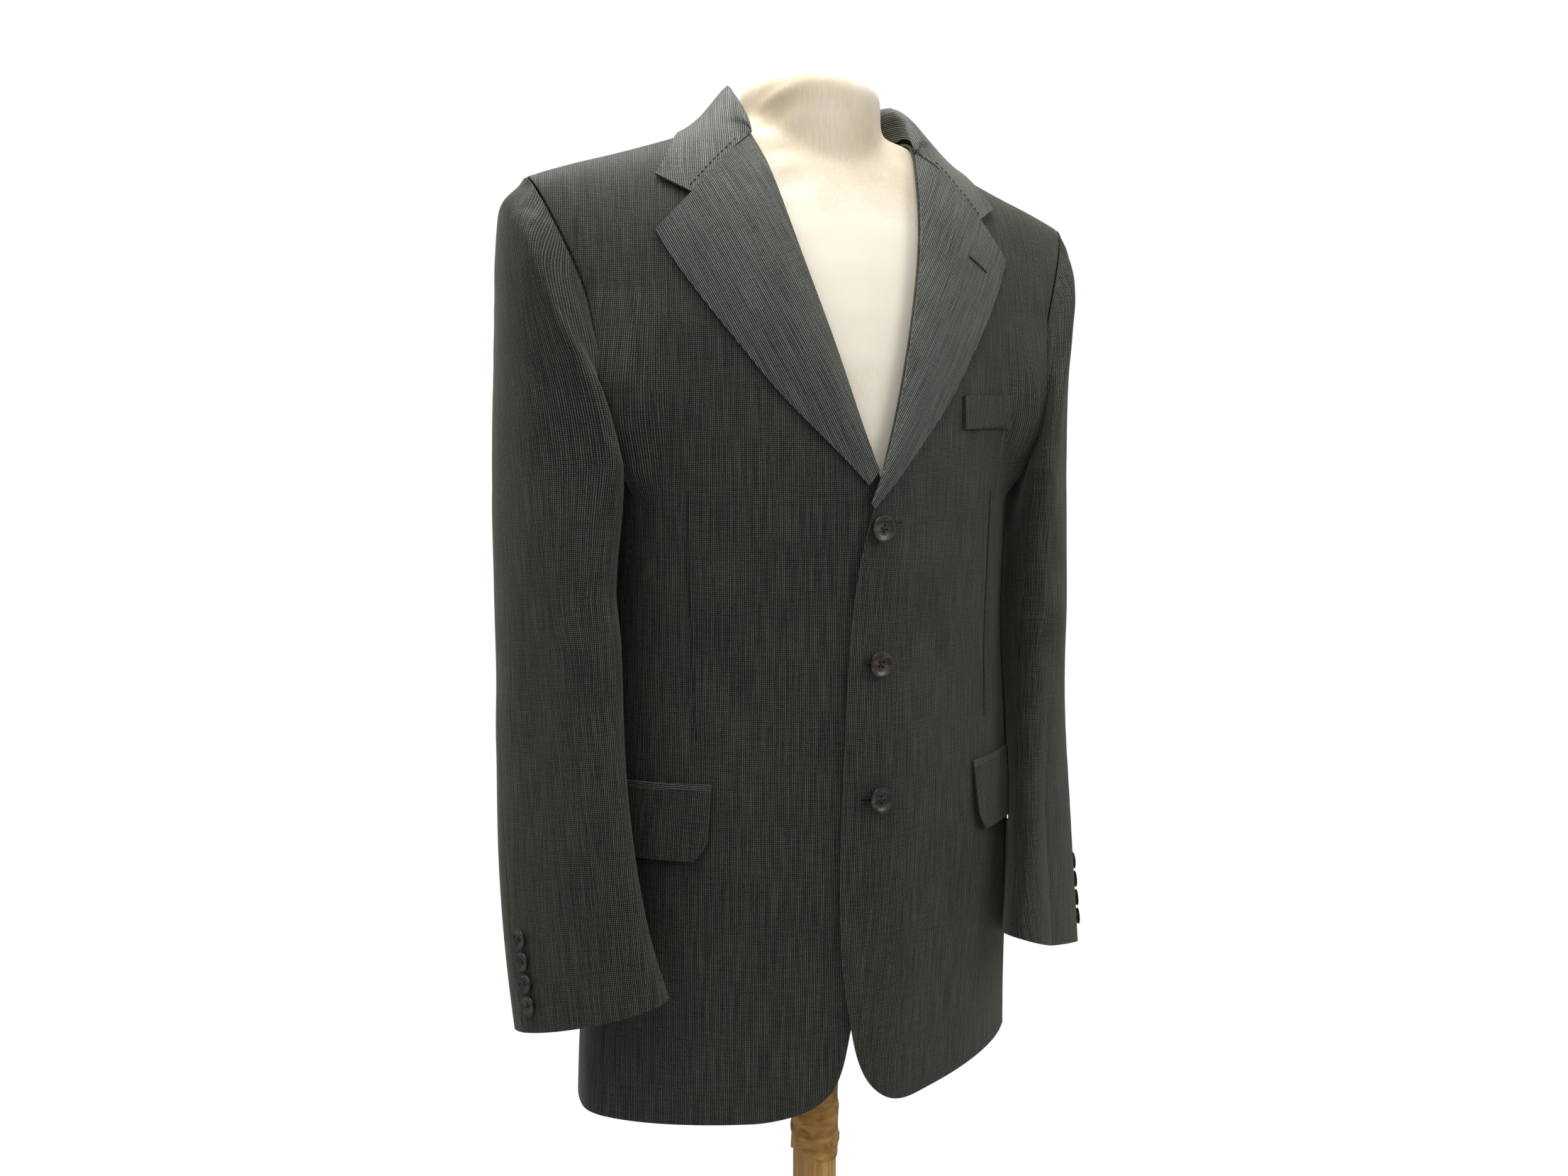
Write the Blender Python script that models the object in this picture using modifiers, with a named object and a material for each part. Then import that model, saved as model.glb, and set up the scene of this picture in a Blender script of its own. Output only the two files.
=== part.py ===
"""Single-breasted suit jacket standing on a dress form with a pole and a round base.

Metres, +Z up. The pole's axis is x = y = 0, the floor is z = 0, and the front looks
along -Y, so the wearer's left is +X. Each cloth piece is a thin wall between two
skins that follow one body surface, and the left front laps over the right one.
"""

import math
from collections import namedtuple

import bmesh
import bpy
from mathutils import Matrix, Vector

# Sides of the wearer
LEFT = 1
RIGHT = -1

# Cloth and seams
CLOTH = 0.0020
SEAM = 0.0003
FOLDED_CLOTH = 0.0022

# Heights of the body
HEM_Z = 0.686
ARMPIT_Z = 1.190
RIDGE_Y = 0.003
BACK_FULLNESS = 0.80
FRONT_SHAPE = 1.5
BACK_SHAPE = 2.2

# The chest is fuller between these shares of its half width, from a little above the armpit
CHEST_FULLNESS = 0.13
CHEST_EDGE = (0.62, 0.92)
CHEST_RISE = 0.045

# Half widths and depths of the level sections through the buttoned jacket
Section = namedtuple("Section", "z half_width front back")
BODY = (
    Section(0.66, 0.197, 0.106, 0.140),
    Section(0.75, 0.195, 0.110, 0.138),
    Section(0.85, 0.193, 0.113, 0.134),
    Section(0.94, 0.190, 0.113, 0.128),
    Section(1.05, 0.181, 0.111, 0.118),
    Section(1.12, 0.183, 0.114, 0.124),
    Section(1.19, 0.188, 0.115, 0.130),
    Section(1.27, 0.207, 0.112, 0.132),
    Section(1.35, 0.234, 0.108, 0.132),
    Section(1.48, 0.270, 0.104, 0.130),
)

# The skirt hangs a little lower and further out on the wearer's right
SKIRT_TOP_Z = 0.90
SKIRT_SHIFT = 0.006
SKIRT_TILT = 0.030

# Shoulder line, from the middle of the neck out to the tip
Ridge = namedtuple("Ridge", "x z")
SHOULDER = (
    Ridge(0.000, 1.478),
    Ridge(0.080, 1.463),
    Ridge(0.110, 1.450),
    Ridge(0.165, 1.430),
    Ridge(0.205, 1.417),
    Ridge(0.240, 1.404),
)

# Armhole in front view, by height
Edge = namedtuple("Edge", "z x")
ARMHOLE = (
    Edge(1.190, 0.1790),
    Edge(1.215, 0.1830),
    Edge(1.260, 0.1890),
    Edge(1.300, 0.1980),
    Edge(1.340, 0.2110),
    Edge(1.375, 0.2250),
    Edge(1.404, 0.2370),
)

# Roll line of the lapel, up from the break
ROLL = (
    Edge(1.160, -0.0090),
    Edge(1.216, 0.0125),
    Edge(1.270, 0.0285),
    Edge(1.310, 0.0400),
    Edge(1.350, 0.0510),
    Edge(1.390, 0.0600),
    Edge(1.430, 0.0680),
    Edge(1.463, 0.0800),
)

# Free edge of the lapel, up from the break to the tip
LAPEL_EDGE = (
    Edge(1.156, -0.0080),
    Edge(1.184, 0.0170),
    Edge(1.215, 0.0470),
    Edge(1.243, 0.0730),
    Edge(1.275, 0.0965),
    Edge(1.305, 0.1180),
    Edge(1.335, 0.1380),
    Edge(1.363, 0.1530),
)
GORGE_Z = 1.443
LAPEL_ROLL_LIFT = 0.0050
LAPEL_GAP = 0.0006
RIGHT_LAPEL_START = 0.085

# Seams of the panels, as angles round the body from the centre front
FRONT_SEAM = math.radians(72.0)
FRONT_SEAM_LOW = math.radians(80.0)
FRONT_SEAM_SWING = (1.060, 1.185)
BACK_SEAM = math.radians(112.0)
NECK_BACK_Z = 1.446
NECK_HALF = 0.080

# How far the left front rides over the right one, and where that fades out
LAP_GAP = 0.0016
LAP_FADE_X = (0.026, 0.052)
LAP_FADE_Z = (1.172, 1.215)

# Free edges of the two fronts, as distances out from the centre line
QUARTER_TOP_Z = 0.80
Closing = namedtuple("Closing", "z left right")
FRONT_EDGES = (
    Closing(0.686, 0.040, 0.075),
    Closing(0.692, 0.019, 0.041),
    Closing(0.702, 0.006, 0.028),
    Closing(0.716, -0.004, 0.020),
    Closing(0.735, -0.011, 0.017),
    Closing(0.760, -0.016, 0.015),
    Closing(0.800, -0.024, 0.004),
    Closing(0.860, -0.029, -0.012),
    Closing(0.930, -0.028, -0.020),
    Closing(1.000, -0.0245, -0.022),
    Closing(1.060, -0.021, -0.022),
    Closing(1.100, -0.018, -0.022),
    Closing(1.136, -0.012, -0.020),
    Closing(1.158, -0.005, -0.011),
    Closing(1.184, 0.001, 0.001),
)

# Sleeve sections from the cap down to the cuff
Arm = namedtuple("Arm", "in_x in_z out_x out_z y half_depth turn rise")
SLEEVE = (
    Arm(0.1935, 1.183, 0.2410, 1.397, 0.012, 0.0560, 0.0, 0.000),
    Arm(0.1935, 1.176, 0.2475, 1.360, 0.010, 0.0610, 5.0, 0.000),
    Arm(0.1933, 1.166, 0.2480, 1.305, 0.008, 0.0660, 10.5, 0.000),
    Arm(0.1930, 1.152, 0.2477, 1.245, 0.007, 0.0690, 16.0, 0.000),
    Arm(0.1928, 1.130, 0.2475, 1.180, 0.006, 0.0705, 19.5, 0.000),
    Arm(0.1925, 1.090, 0.2475, 1.112, 0.004, 0.0710, 22.0, 0.001),
    Arm(0.1930, 1.035, 0.2472, 1.042, 0.001, 0.0705, 24.5, 0.003),
    Arm(0.1975, 0.966, 0.2455, 0.968, -0.007, 0.0690, 27.5, 0.006),
    Arm(0.2000, 0.893, 0.2430, 0.895, -0.020, 0.0690, 32.0, 0.010),
    Arm(0.1950, 0.827, 0.2390, 0.826, -0.034, 0.0690, 36.0, 0.015),
    Arm(0.1860, 0.783, 0.2340, 0.774, -0.046, 0.0700, 39.0, 0.022),
)
SLEEVE_STEPS = 20
SLEEVE_ROUND = 24
FRONT_SLEEVE_SEAM = 4
HIND_SLEEVE_SEAM = 15
SLEEVE_EVENING = 3

# Share of the way round the armhole that is above the armpit
ARMHOLE_UPRIGHT = 0.8334
SLEEVE_EASE = 0.0014

# Largest folds of the sleeves: places as shares of the length and of the way round
Fold = namedtuple("Fold", "down round length width depth lean")
SLEEVE_FOLDS = (
    Fold(0.20, 0.33, 0.22, 0.07, -0.0030, 0.20),
    Fold(0.36, 0.40, 0.20, 0.06, -0.0035, -0.20),
    Fold(0.52, 0.22, 0.07, 0.14, -0.0045, 0.10),
    Fold(0.60, 0.36, 0.06, 0.12, 0.0030, 0.10),
    Fold(0.72, 0.50, 0.18, 0.06, -0.0030, 0.15),
    Fold(0.45, 0.72, 0.20, 0.08, -0.0035, 0.10),
)

# Pockets
FLAP_TOP_Z = 0.944
FLAP_DROP = 0.053
FLAP_STARTS = {LEFT: math.radians(39.5), RIGHT: math.radians(45.0)}
FLAP_SPAN = math.radians(65.0)
FLAP_CORNER = 0.12
FLAP_SLANT = 0.015
FLAP_GAP = 0.0006
FLAP_STAND_OFF = 0.0040
JET_HEIGHT = 0.0050
WELT_INNER = Edge(1.2335, 0.0895)
WELT_OUTER = Edge(1.2375, 0.1525)
WELT_HEIGHT = 0.0270

# Collar: its free edge from the centre back to the tip, as a width, an angle over the
# shoulder and the height of the stand there
COLLAR_LEAN = 0.015
COLLAR_SAMPLES = 18
COLLAR_FOLD = 0.0046
COLLAR_GAP = 0.0011
Leaf = namedtuple("Leaf", "at x over stand")
COLLAR_LEAF = (
    Leaf(0.00, 0.000, 32.5, 0.0360),
    Leaf(0.25, 0.040, 31.0, 0.0360),
    Leaf(0.50, 0.077, 26.0, 0.0350),
    Leaf(0.75, 0.102, 14.5, 0.0315),
    Leaf(1.00, 0.119, -4.0, 0.0250),
    Leaf(1.25, 0.136, -20.6, 0.0150),
    Leaf(1.50, 0.148, -28.4, 0.0080),
)
STAND_SHARES = (0.0, 0.5, 0.88)
FALL_SHARES = (0.12, 0.32, 0.55, 0.78, 1.0)
# The gorge seam runs from the roll to the notch, this far along the lapel's upper edge
NOTCH_ALONG = 0.65
NOTCH_FALL_SHARE = 0.78
GORGE_GAP = 0.0016

# Buttons
Button = namedtuple("Button", "z seat")
BUTTONS = (
    Button(1.143, 0.0002),
    Button(1.040, 0.0008),
    Button(0.936, 0.0004),
)
BUTTON_DIAMETER = 0.0203
BUTTON_THICKNESS = 0.0034
BUTTON_TURN = math.radians(7.0)
BUTTON_HOLE_REACH = 0.115
BUTTON_HOLE_RADIUS = 0.045
Corner = namedtuple("Corner", "reach height")
BUTTON_OUTLINE = (
    Corner(0.00, 0.00),
    Corner(0.72, 0.00),
    Corner(1.00, 0.55),
    Corner(0.93, 1.00),
    Corner(0.80, 1.00),
    Corner(0.66, 0.62),
    Corner(0.00, 0.62),
)
CUFF_BUTTON_DIAMETER = 0.0150
CUFF_BUTTON_THICKNESS = 0.0030
CUFF_BUTTON_PITCH = 0.0165
CUFF_BUTTONS = 4
CUFF_BUTTON_UP = 0.021

# Dress form and its stand
FORM_GAP = 0.0070
FORM_SEAT_GAP = 0.0013
FORM_BOTTOM_Z = 0.800
FORM_SHOULDER_INSET = 0.006
FORM_TOP_ANGLE = math.radians(1.5)
FORM_ROUND = 36
FORM_LOW_ROWS = 7
NECK_RADIUS = 0.0590
NECK_Y = 0.014
NECK_TOP_Z = 1.500
NECK_LOW_Z = 1.390
NECK_EDGE = 0.008
POLE_RADIUS = 0.0185
WRAP_LOW_Z = 0.600
WRAP_THICKNESS = 0.0010
BASE_RADIUS = 0.210
BASE_THICKNESS = 0.022
SOCKET_RADIUS = 0.034
SOCKET_HEIGHT = 0.040
BASE_FOOT_EDGE = 0.002
BASE_TOP_EDGE = 0.006
SOCKET_TAPER = 0.004

# Columns and rows of the walls
FRONT_COLUMNS = 10
LOW_ROWS = 11
QUARTER_ROWS = 5
HIGH_ROWS = 11
SIDE_COLUMNS = 6
BACK_COLUMNS = 8
LAPEL_ROWS = 12
LAPEL_COLUMNS = 6
FLAP_ROWS = 5
FLAP_COLUMNS = 10
WELT_ROWS = 3
WELT_COLUMNS = 7
POLE_ROUND = 24
STEP = 1e-4

COLLECTION = "suit_jacket_on_form"
SIDES = (("left", LEFT), ("right", RIGHT))


def smooth(rows, key, value, at):
    """Cubic curve through a table's rows, read at one place.

    Args:
        rows: named rows in rising order of the key column.
        key: name of the column that is looked up.
        value: name of the column that is read.
        at: place in the key column, held within its ends.
    """
    keys = [getattr(row, key) for row in rows]
    values = [getattr(row, value) for row in rows]
    at = min(max(at, keys[0]), keys[-1])
    i = max(k for k in range(len(keys) - 1) if keys[k] <= at or k == 0)
    slopes = []
    for k in (i, i + 1):
        low, high = max(k - 1, 0), min(k + 1, len(keys) - 1)
        slopes.append((values[high] - values[low]) / (keys[high] - keys[low]))
    span = keys[i + 1] - keys[i]
    s = (at - keys[i]) / span
    return (
        values[i] * (2 * s**3 - 3 * s**2 + 1)
        + slopes[0] * span * (s**3 - 2 * s**2 + s)
        + values[i + 1] * (3 * s**2 - 2 * s**3)
        + slopes[1] * span * (s**3 - s**2)
    )


def mix(a, b, s):
    """Value between a and b."""
    return a + (b - a) * s


def ease(low, high, at):
    """Soft step from 0 at low to 1 at high."""
    s = min(max((at - low) / (high - low), 0.0), 1.0)
    return s * s * (3 - 2 * s)


def body(value, z):
    """One size of the level section at a height."""
    return smooth(BODY, "z", value, z)


def ridge_z(x):
    """Height of the shoulder line above a place on the width."""
    return smooth(SHOULDER, "x", "z", abs(x))


def low_point(angle, z):
    """Point below the armpit, at an angle from the centre front (negative to the right)."""
    ahead = math.cos(angle) > 0
    depth = body("front", z) if ahead else body("back", z)
    shape = FRONT_SHAPE if ahead else BACK_SHAPE
    reach = (abs(math.sin(angle)) ** shape + abs(math.cos(angle)) ** shape) ** (-1 / shape)
    half = body("half_width", z)
    return Vector((half * reach * math.sin(angle), RIDGE_Y - depth * reach * math.cos(angle), z))


def round_share(x, z, shape):
    """Share of the full depth that a rounded section has at a place on its width."""
    across = min(abs(x) / body("half_width", z), 1.0)
    return (1 - across**shape) ** (1 / shape)


def chest_share(x, z):
    """Share of the front's depth above the armpit, fuller towards the armhole."""
    across = min(abs(x) / body("half_width", z), 1.0)
    rise = ease(ARMPIT_Z, ARMPIT_Z + CHEST_RISE, z)
    return round_share(x * (1 - CHEST_FULLNESS * rise * ease(*CHEST_EDGE, across)), z, FRONT_SHAPE)


def angle_at(x, z):
    """Angle from the centre front of a place on the width of a front."""
    across = x / body("half_width", z)
    return math.atan2(across, round_share(x, z, FRONT_SHAPE))


def high_point(x, over):
    """Point above the armpit: over is -90 degrees at the front, 0 on the ridge, 90 at the back."""
    z = ARMPIT_Z + math.cos(over) * (ridge_z(x) - ARMPIT_Z)
    lift = abs(math.sin(over))
    if over < 0:
        depth = body("front", z) * chest_share(x, z)
        return Vector((x, RIDGE_Y - depth * lift, z))
    depth = body("back", z) * round_share(x, z, BACK_SHAPE)
    return Vector((x, RIDGE_Y + depth * lift * (1 + BACK_FULLNESS * (1 - lift)), z))


def over_at(x, z):
    """Angle over the shoulder of a height above the armpit."""
    share = (z - ARMPIT_Z) / (ridge_z(x) - ARMPIT_Z)
    return math.acos(min(max(share, 0.0), 1.0))


def outward(surface, a, b, step_a, step_b):
    """Unit normal of a surface that points away from the body's inside."""
    along = surface(a + step_a, b) - surface(a - step_a, b)
    up = surface(a, b + step_b) - surface(a, b - step_b)
    normal = along.cross(up).normalized()
    point = surface(a, b)
    inside = Vector((point.x * 0.4, RIDGE_Y, min(point.z, ARMPIT_Z + 0.1)))
    if normal.dot(point - inside) < 0:
        normal.negate()
    return normal


def low_spot(angle, z):
    """Point and normal below the armpit."""
    return low_point(angle, z), outward(low_point, angle, z, STEP, STEP)


def high_spot(x, over):
    """Point and normal above the armpit."""
    over = min(max(over, -math.pi / 2 + 2 * STEP), math.pi / 2 - 2 * STEP)
    if abs(over) < 4 * STEP:
        slope = (high_point(x + STEP, 0.0) - high_point(x - STEP, 0.0)).normalized()
        return high_point(x, 0.0), Vector((-slope.z, 0.0, slope.x))
    return high_point(x, over), outward(high_point, x, over, STEP, STEP)


def front_spot(x, z):
    """Point and normal of the front at a place in front view."""
    if z >= ARMPIT_Z:
        return high_spot(x, -over_at(x, z))
    return low_spot(angle_at(x, z), z)


def settle(point):
    """Where a point of the skirt comes to hang."""
    low = ease(SKIRT_TOP_Z, HEM_Z, point.z)
    return point + Vector((-SKIRT_SHIFT, 0, SKIRT_TILT * point.x)) * low


def body_wall(name, spots, lift=None):
    """Wall of a body panel, settled at the skirt."""
    hung = [[(settle(point), normal) for point, normal in row] for row in spots]
    return grid_wall(name, hung, CLOTH, lift)


def grid_wall(name, spots, thickness, lift=None):
    """Closed wall between two skins over a grid of (point, normal) rows.

    Args:
        name: name of the object.
        spots: rows of (point, normal) pairs, all of one length.
        thickness: how far the inner skin lies under the outer one.
        lift: function of (row, column) shares that moves both skins outward.
    """
    rows, columns = len(spots), len(spots[0])
    outer, inner = [], []
    for r, row in enumerate(spots):
        for c, (point, normal) in enumerate(row):
            raised = lift(r / (rows - 1), c / (columns - 1)) if lift else 0.0
            outer.append(point + normal * raised)
            inner.append(point + normal * (raised - thickness))
    count = rows * columns
    faces = []
    for r in range(rows - 1):
        for c in range(columns - 1):
            a = r * columns + c
            quad = (a, a + 1, a + 1 + columns, a + columns)
            for face in split(quad, outer):
                faces.append(face)
                faces.append(tuple(count + i for i in reversed(face)))
    border = [c for c in range(columns)]
    border += [r * columns + columns - 1 for r in range(1, rows)]
    border += [(rows - 1) * columns + c for c in range(columns - 2, -1, -1)]
    border += [r * columns for r in range(rows - 2, 0, -1)]
    for a, b in zip(border, border[1:] + border[:1]):
        faces.append((b, a, count + a, count + b))
    mesh = bpy.data.meshes.new(name)
    mesh.from_pydata([tuple(p) for p in outer + inner], [], faces)
    return add_object(name, mesh)


def split(quad, points):
    """Two triangles of a quad, cut along its shorter diagonal, so that both skins match."""
    a, b, c, d = quad
    if (points[a] - points[c]).length <= (points[b] - points[d]).length:
        return (a, b, c), (a, c, d)
    return (a, b, d), (b, c, d)


def add_object(name, mesh):
    """New object in the model's collection, with its faces turned outward."""
    shape = bmesh.new()
    shape.from_mesh(mesh)
    bmesh.ops.recalc_face_normals(shape, faces=shape.faces)
    if shape.calc_volume(signed=True) < 0:
        bmesh.ops.reverse_faces(shape, faces=shape.faces)
    shape.to_mesh(mesh)
    shape.free()
    mesh.shade_smooth()
    mesh.set_sharp_from_angle(angle=math.radians(40))
    model = bpy.data.objects.new(name, mesh)
    bpy.data.collections[COLLECTION].objects.link(model)
    return model


def mirrored(spots, side):
    """Grid of spots moved to one side of the body."""
    if side == LEFT:
        return spots
    flip = Vector((-1, 1, 1))
    return [[(point * flip, normal * flip) for point, normal in row] for row in spots]


def quarter_heights():
    """Heights of the rows from the hem up to the armpit, closer together in the quarter."""
    turned = [
        QUARTER_TOP_Z - (QUARTER_TOP_Z - HEM_Z) * math.sin(math.pi / 2 * (QUARTER_ROWS - i) / QUARTER_ROWS)
        for i in range(QUARTER_ROWS)
    ]
    straight = [mix(QUARTER_TOP_Z, ARMPIT_Z, i / LOW_ROWS) for i in range(LOW_ROWS + 1)]
    return turned + straight


def over_rows(first, count):
    """Angles from the armpit's level up to the ridge, without the first one."""
    return [mix(first, 0.0, (i + 1) / count) for i in range(count)]


def column_shares(first, last, count):
    """Shares of the width at which a panel's columns cross the armpit's level."""
    widths = [low_point(mix(first, last, c / count), ARMPIT_Z).x for c in range(count + 1)]
    return [(x - widths[0]) / (widths[-1] - widths[0]) for x in widths]


def front_edge_angle(side, z):
    """Angle round the body of a front's free edge."""
    edge = smooth(FRONT_EDGES, "z", "left" if side == LEFT else "right", z)
    roll = smooth(ROLL, "z", "x", z) if z > ROLL[0].z else edge
    return angle_at(max(edge, roll), z)


def front_seam(z):
    """Angle of the seam between the front and the side body."""
    return mix(FRONT_SEAM, FRONT_SEAM_LOW, 1 - ease(*FRONT_SEAM_SWING, z))


def front_panel(name, side):
    """One front from the hem to the shoulder seam, with the free edge and the armhole."""
    spots = []
    for z in quarter_heights():
        start = front_edge_angle(side, z)
        end = front_seam(z) - SEAM / body("half_width", z)
        spots.append([low_spot(mix(start, end, c / FRONT_COLUMNS), z) for c in range(FRONT_COLUMNS + 1)])
    shares = column_shares(front_edge_angle(side, ARMPIT_Z), FRONT_SEAM, FRONT_COLUMNS)
    for over in over_rows(-math.pi / 2, HIGH_ROWS):
        over = min(over, -SEAM / body("front", ARMPIT_Z))
        inner = edge_at(ROLL, over)
        outer = edge_at(ARMHOLE, over)
        spots.append([high_spot(mix(inner, outer, share), over) for share in shares])
    if side == LEFT:
        spots = [[(point + normal * lap_rise(point), normal) for point, normal in row] for row in spots]
    return body_wall(name, mirrored(spots, side))


def lap_rise(point):
    """How far the left front rides over the right one at a point."""
    across = 1 - ease(*LAP_FADE_X, point.x)
    up = 1 - ease(*LAP_FADE_Z, point.z)
    return (CLOTH + LAP_GAP) * across * up


def edge_at(table, over):
    """Width of an edge at an angle over the shoulder, found by closing in on its height."""
    share = math.cos(over)
    x = table[0].x
    for _ in range(12):
        z = ARMPIT_Z + share * (ridge_z(x) - ARMPIT_Z)
        x = smooth(table, "z", "x", z)
    return x


def side_panel(name, side):
    """Side body under the arm, from the hem to the armhole's floor."""
    spots = []
    for z in quarter_heights():
        trim = SEAM / body("half_width", z)
        spots.append(
            [
                low_spot(mix(front_seam(z) + trim, BACK_SEAM - trim, c / SIDE_COLUMNS), z)
                for c in range(SIDE_COLUMNS + 1)
            ]
        )
    return body_wall(name, mirrored(spots, side))


def neck_start(over):
    """Inner end of a back row: the centre seam, then the curve of the neck."""
    top = over_at(0.0, NECK_BACK_Z)
    if over >= top:
        return SEAM
    share = over / top
    return SEAM + (NECK_HALF - SEAM) * math.sqrt(1 - share**2)


def back_panel(name, side):
    """One half of the back, from the hem to the neck and the shoulder seam."""
    spots = []
    for z in quarter_heights():
        trim = SEAM / body("half_width", z)
        spots.append(
            [
                low_spot(mix(BACK_SEAM + trim, math.pi - trim, c / BACK_COLUMNS), z)
                for c in range(BACK_COLUMNS + 1)
            ]
        )
    shares = column_shares(BACK_SEAM, math.pi, BACK_COLUMNS)
    for over in over_rows(math.pi / 2, HIGH_ROWS):
        over = max(over, SEAM / body("back", ARMPIT_Z))
        inner = neck_start(over)
        outer = edge_at(ARMHOLE, over)
        spots.append([high_spot(mix(outer, inner, share), over) for share in shares])
    return body_wall(name, mirrored(spots, side))


def armhole_point(face, over):
    """Place on a panel's armhole edge, whose lowest stretch runs straight up from its seam."""
    first = over_rows(math.pi / 2, HIGH_ROWS)[0]
    if abs(over) <= first:
        return high_point(edge_at(ARMHOLE, over), over)
    seam = FRONT_SEAM if face < 0 else BACK_SEAM
    top = high_point(edge_at(ARMHOLE, face * first), face * first)
    return low_point(seam, ARMPIT_Z).lerp(top, (math.pi / 2 - abs(over)) / (math.pi / 2 - first))


def armhole_loop():
    """Points round the armhole, from the armpit by the front and the tip to the back."""
    loop = []
    for i in range(SLEEVE_ROUND):
        turn = i / SLEEVE_ROUND
        climb = abs(2 * turn - 1) / ARMHOLE_UPRIGHT
        face = -1 if turn < 0.5 else 1
        if climb < 0.999:
            point = armhole_point(face, face * math.pi / 2 * climb)
        else:
            seam = FRONT_SEAM if face < 0 else BACK_SEAM
            floor = max(climb - 1, 0.0) * ARMHOLE_UPRIGHT / (1 - ARMHOLE_UPRIGHT)
            point = low_point(mix(seam, math.pi / 2, floor), ARMPIT_Z + SEAM)
        loop.append(point + Vector((SLEEVE_EASE, 0, 0)))
    return loop


def arm_point(row, turn):
    """Point of a sleeve section: turn 0 is the armpit side, a quarter is the front."""
    angle = 2 * math.pi * turn
    low = Vector((row.in_x, 0, row.in_z))
    high = Vector((row.out_x, 0, row.out_z))
    centre = (low + high) / 2 + Vector((0, row.y, 0))
    across = (high - low) / 2
    ahead = Vector((0, -row.half_depth, 0))
    swing = Matrix.Rotation(math.radians(-row.turn), 3, "Z")
    rise = Vector((0, 0, row.rise * math.sin(angle)))
    return centre + swing @ (ahead * math.sin(angle) - across * math.cos(angle)) + rise


def fold_depth(down, turn):
    """How far the sleeve's folds move its surface at a place."""
    total = 0.0
    for fold in SLEEVE_FOLDS:
        along = (down - fold.down) / fold.length
        gap = (turn - fold.round - fold.lean * (down - fold.down) + 0.5) % 1.0 - 0.5
        total += fold.depth * math.exp(-(along**2) * 2) * math.exp(-((gap / fold.width) ** 2) * 2)
    return total


def sleeve_rings():
    """Rings of sleeve points from the armhole to the cuff, on the left arm."""
    loop = armhole_loop()
    Place = namedtuple("Place", "at x y z")
    rings = [[] for _ in range(SLEEVE_STEPS + 1)]
    for i in range(SLEEVE_ROUND):
        turn = i / SLEEVE_ROUND
        points = [loop[i]] + [arm_point(row, turn) for row in SLEEVE]
        places = [Place(k / len(SLEEVE), *point) for k, point in enumerate(points)]
        for step in range(SLEEVE_STEPS + 1):
            down = step / SLEEVE_STEPS
            rings[step].append(Vector([smooth(places, "at", axis, down) for axis in "xyz"]))
    return rings


def evened(spots, closed):
    """Same points with each normal averaged with its neighbours', so that the skins keep apart.

    Args:
        spots: rows of (point, normal) pairs.
        closed: whether each row ends where it starts.
    """
    rows, columns = len(spots), len(spots[0])
    result = []
    for r in range(rows):
        line = []
        for c in range(columns):
            before = (c - 1) % columns if closed else max(c - 1, 0)
            after = (c + 1) % columns if closed else min(c + 1, columns - 1)
            around = spots[r][before][1] + spots[r][after][1]
            around += spots[max(r - 1, 0)][c][1] + spots[min(r + 1, rows - 1)][c][1]
            point, normal = spots[r][c]
            line.append((point, (normal + around * 0.5).normalized()))
        result.append(line)
    return result


def sleeve_spots(side):
    """Rows of points and normals all round the sleeve, with its folds."""
    rings = sleeve_rings()
    spots = []
    for step, ring in enumerate(rings):
        row = []
        for i, point in enumerate(ring):
            ahead = ring[(i + 1) % SLEEVE_ROUND] - ring[i - 1]
            low, high = max(step - 1, 0), min(step + 1, SLEEVE_STEPS)
            down = rings[high][i] - rings[low][i]
            normal = ahead.cross(down).normalized()
            middle = sum(ring, Vector()) / SLEEVE_ROUND
            if normal.dot(point - middle) < 0:
                normal.negate()
            share = step / SLEEVE_STEPS
            settled = ease(0.04, 0.15, share)
            row.append((point + normal * fold_depth(share, i / SLEEVE_ROUND) * settled, normal))
        spots.append(row)
    for _ in range(SLEEVE_EVENING):
        spots = evened(spots, True)
    spots[0] = [(point, Vector((min(normal.x, 0.0), normal.y, normal.z)).normalized()) for point, normal in spots[0]]
    return mirrored(spots, side)


def sleeve_piece(name, spots, first, last):
    """Part of the sleeve between two of its lengthwise seams."""
    rows = []
    for row in spots:
        picked = [row[i % SLEEVE_ROUND] for i in range(first, last + 1)]
        for end, inward in ((0, 1), (-1, -2)):
            point, normal = picked[end]
            toward = (picked[inward][0] - point).normalized()
            picked[end] = (point + toward * SEAM, normal)
        rows.append(picked)
    return grid_wall(name, rows, CLOTH)


def lapel(name, side):
    """Turned-back lapel from the break to the notch, lying on the front."""
    spots = []
    start = RIGHT_LAPEL_START if side == RIGHT else 0.0
    for r in range(LAPEL_ROWS + 1):
        share = mix(start, 1.0, r / LAPEL_ROWS)
        roll_z = mix(ROLL[0].z + 0.002, GORGE_Z, share)
        edge_z = mix(LAPEL_EDGE[0].z + 0.002, LAPEL_EDGE[-1].z, share)
        inner = Vector((smooth(ROLL, "z", "x", roll_z), roll_z))
        outer = Vector((smooth(LAPEL_EDGE, "z", "x", edge_z), edge_z))
        row = []
        for c in range(LAPEL_COLUMNS + 1):
            place = inner.lerp(outer, c / LAPEL_COLUMNS)
            point, normal = front_spot(place.x, place.y)
            rise = lap_rise(point) if side == LEFT else 0.0
            row.append((point + normal * rise, normal))
        spots.append(row)

    def roll_lift(row_share, column_share):
        """The lapel springs away from the front along its roll line."""
        spring = LAPEL_ROLL_LIFT * math.sin(math.pi * column_share**0.6) * ease(0.0, 0.25, row_share)
        return FOLDED_CLOTH + LAPEL_GAP + spring

    return grid_wall(name, mirrored(spots, side), FOLDED_CLOTH, roll_lift)


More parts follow.
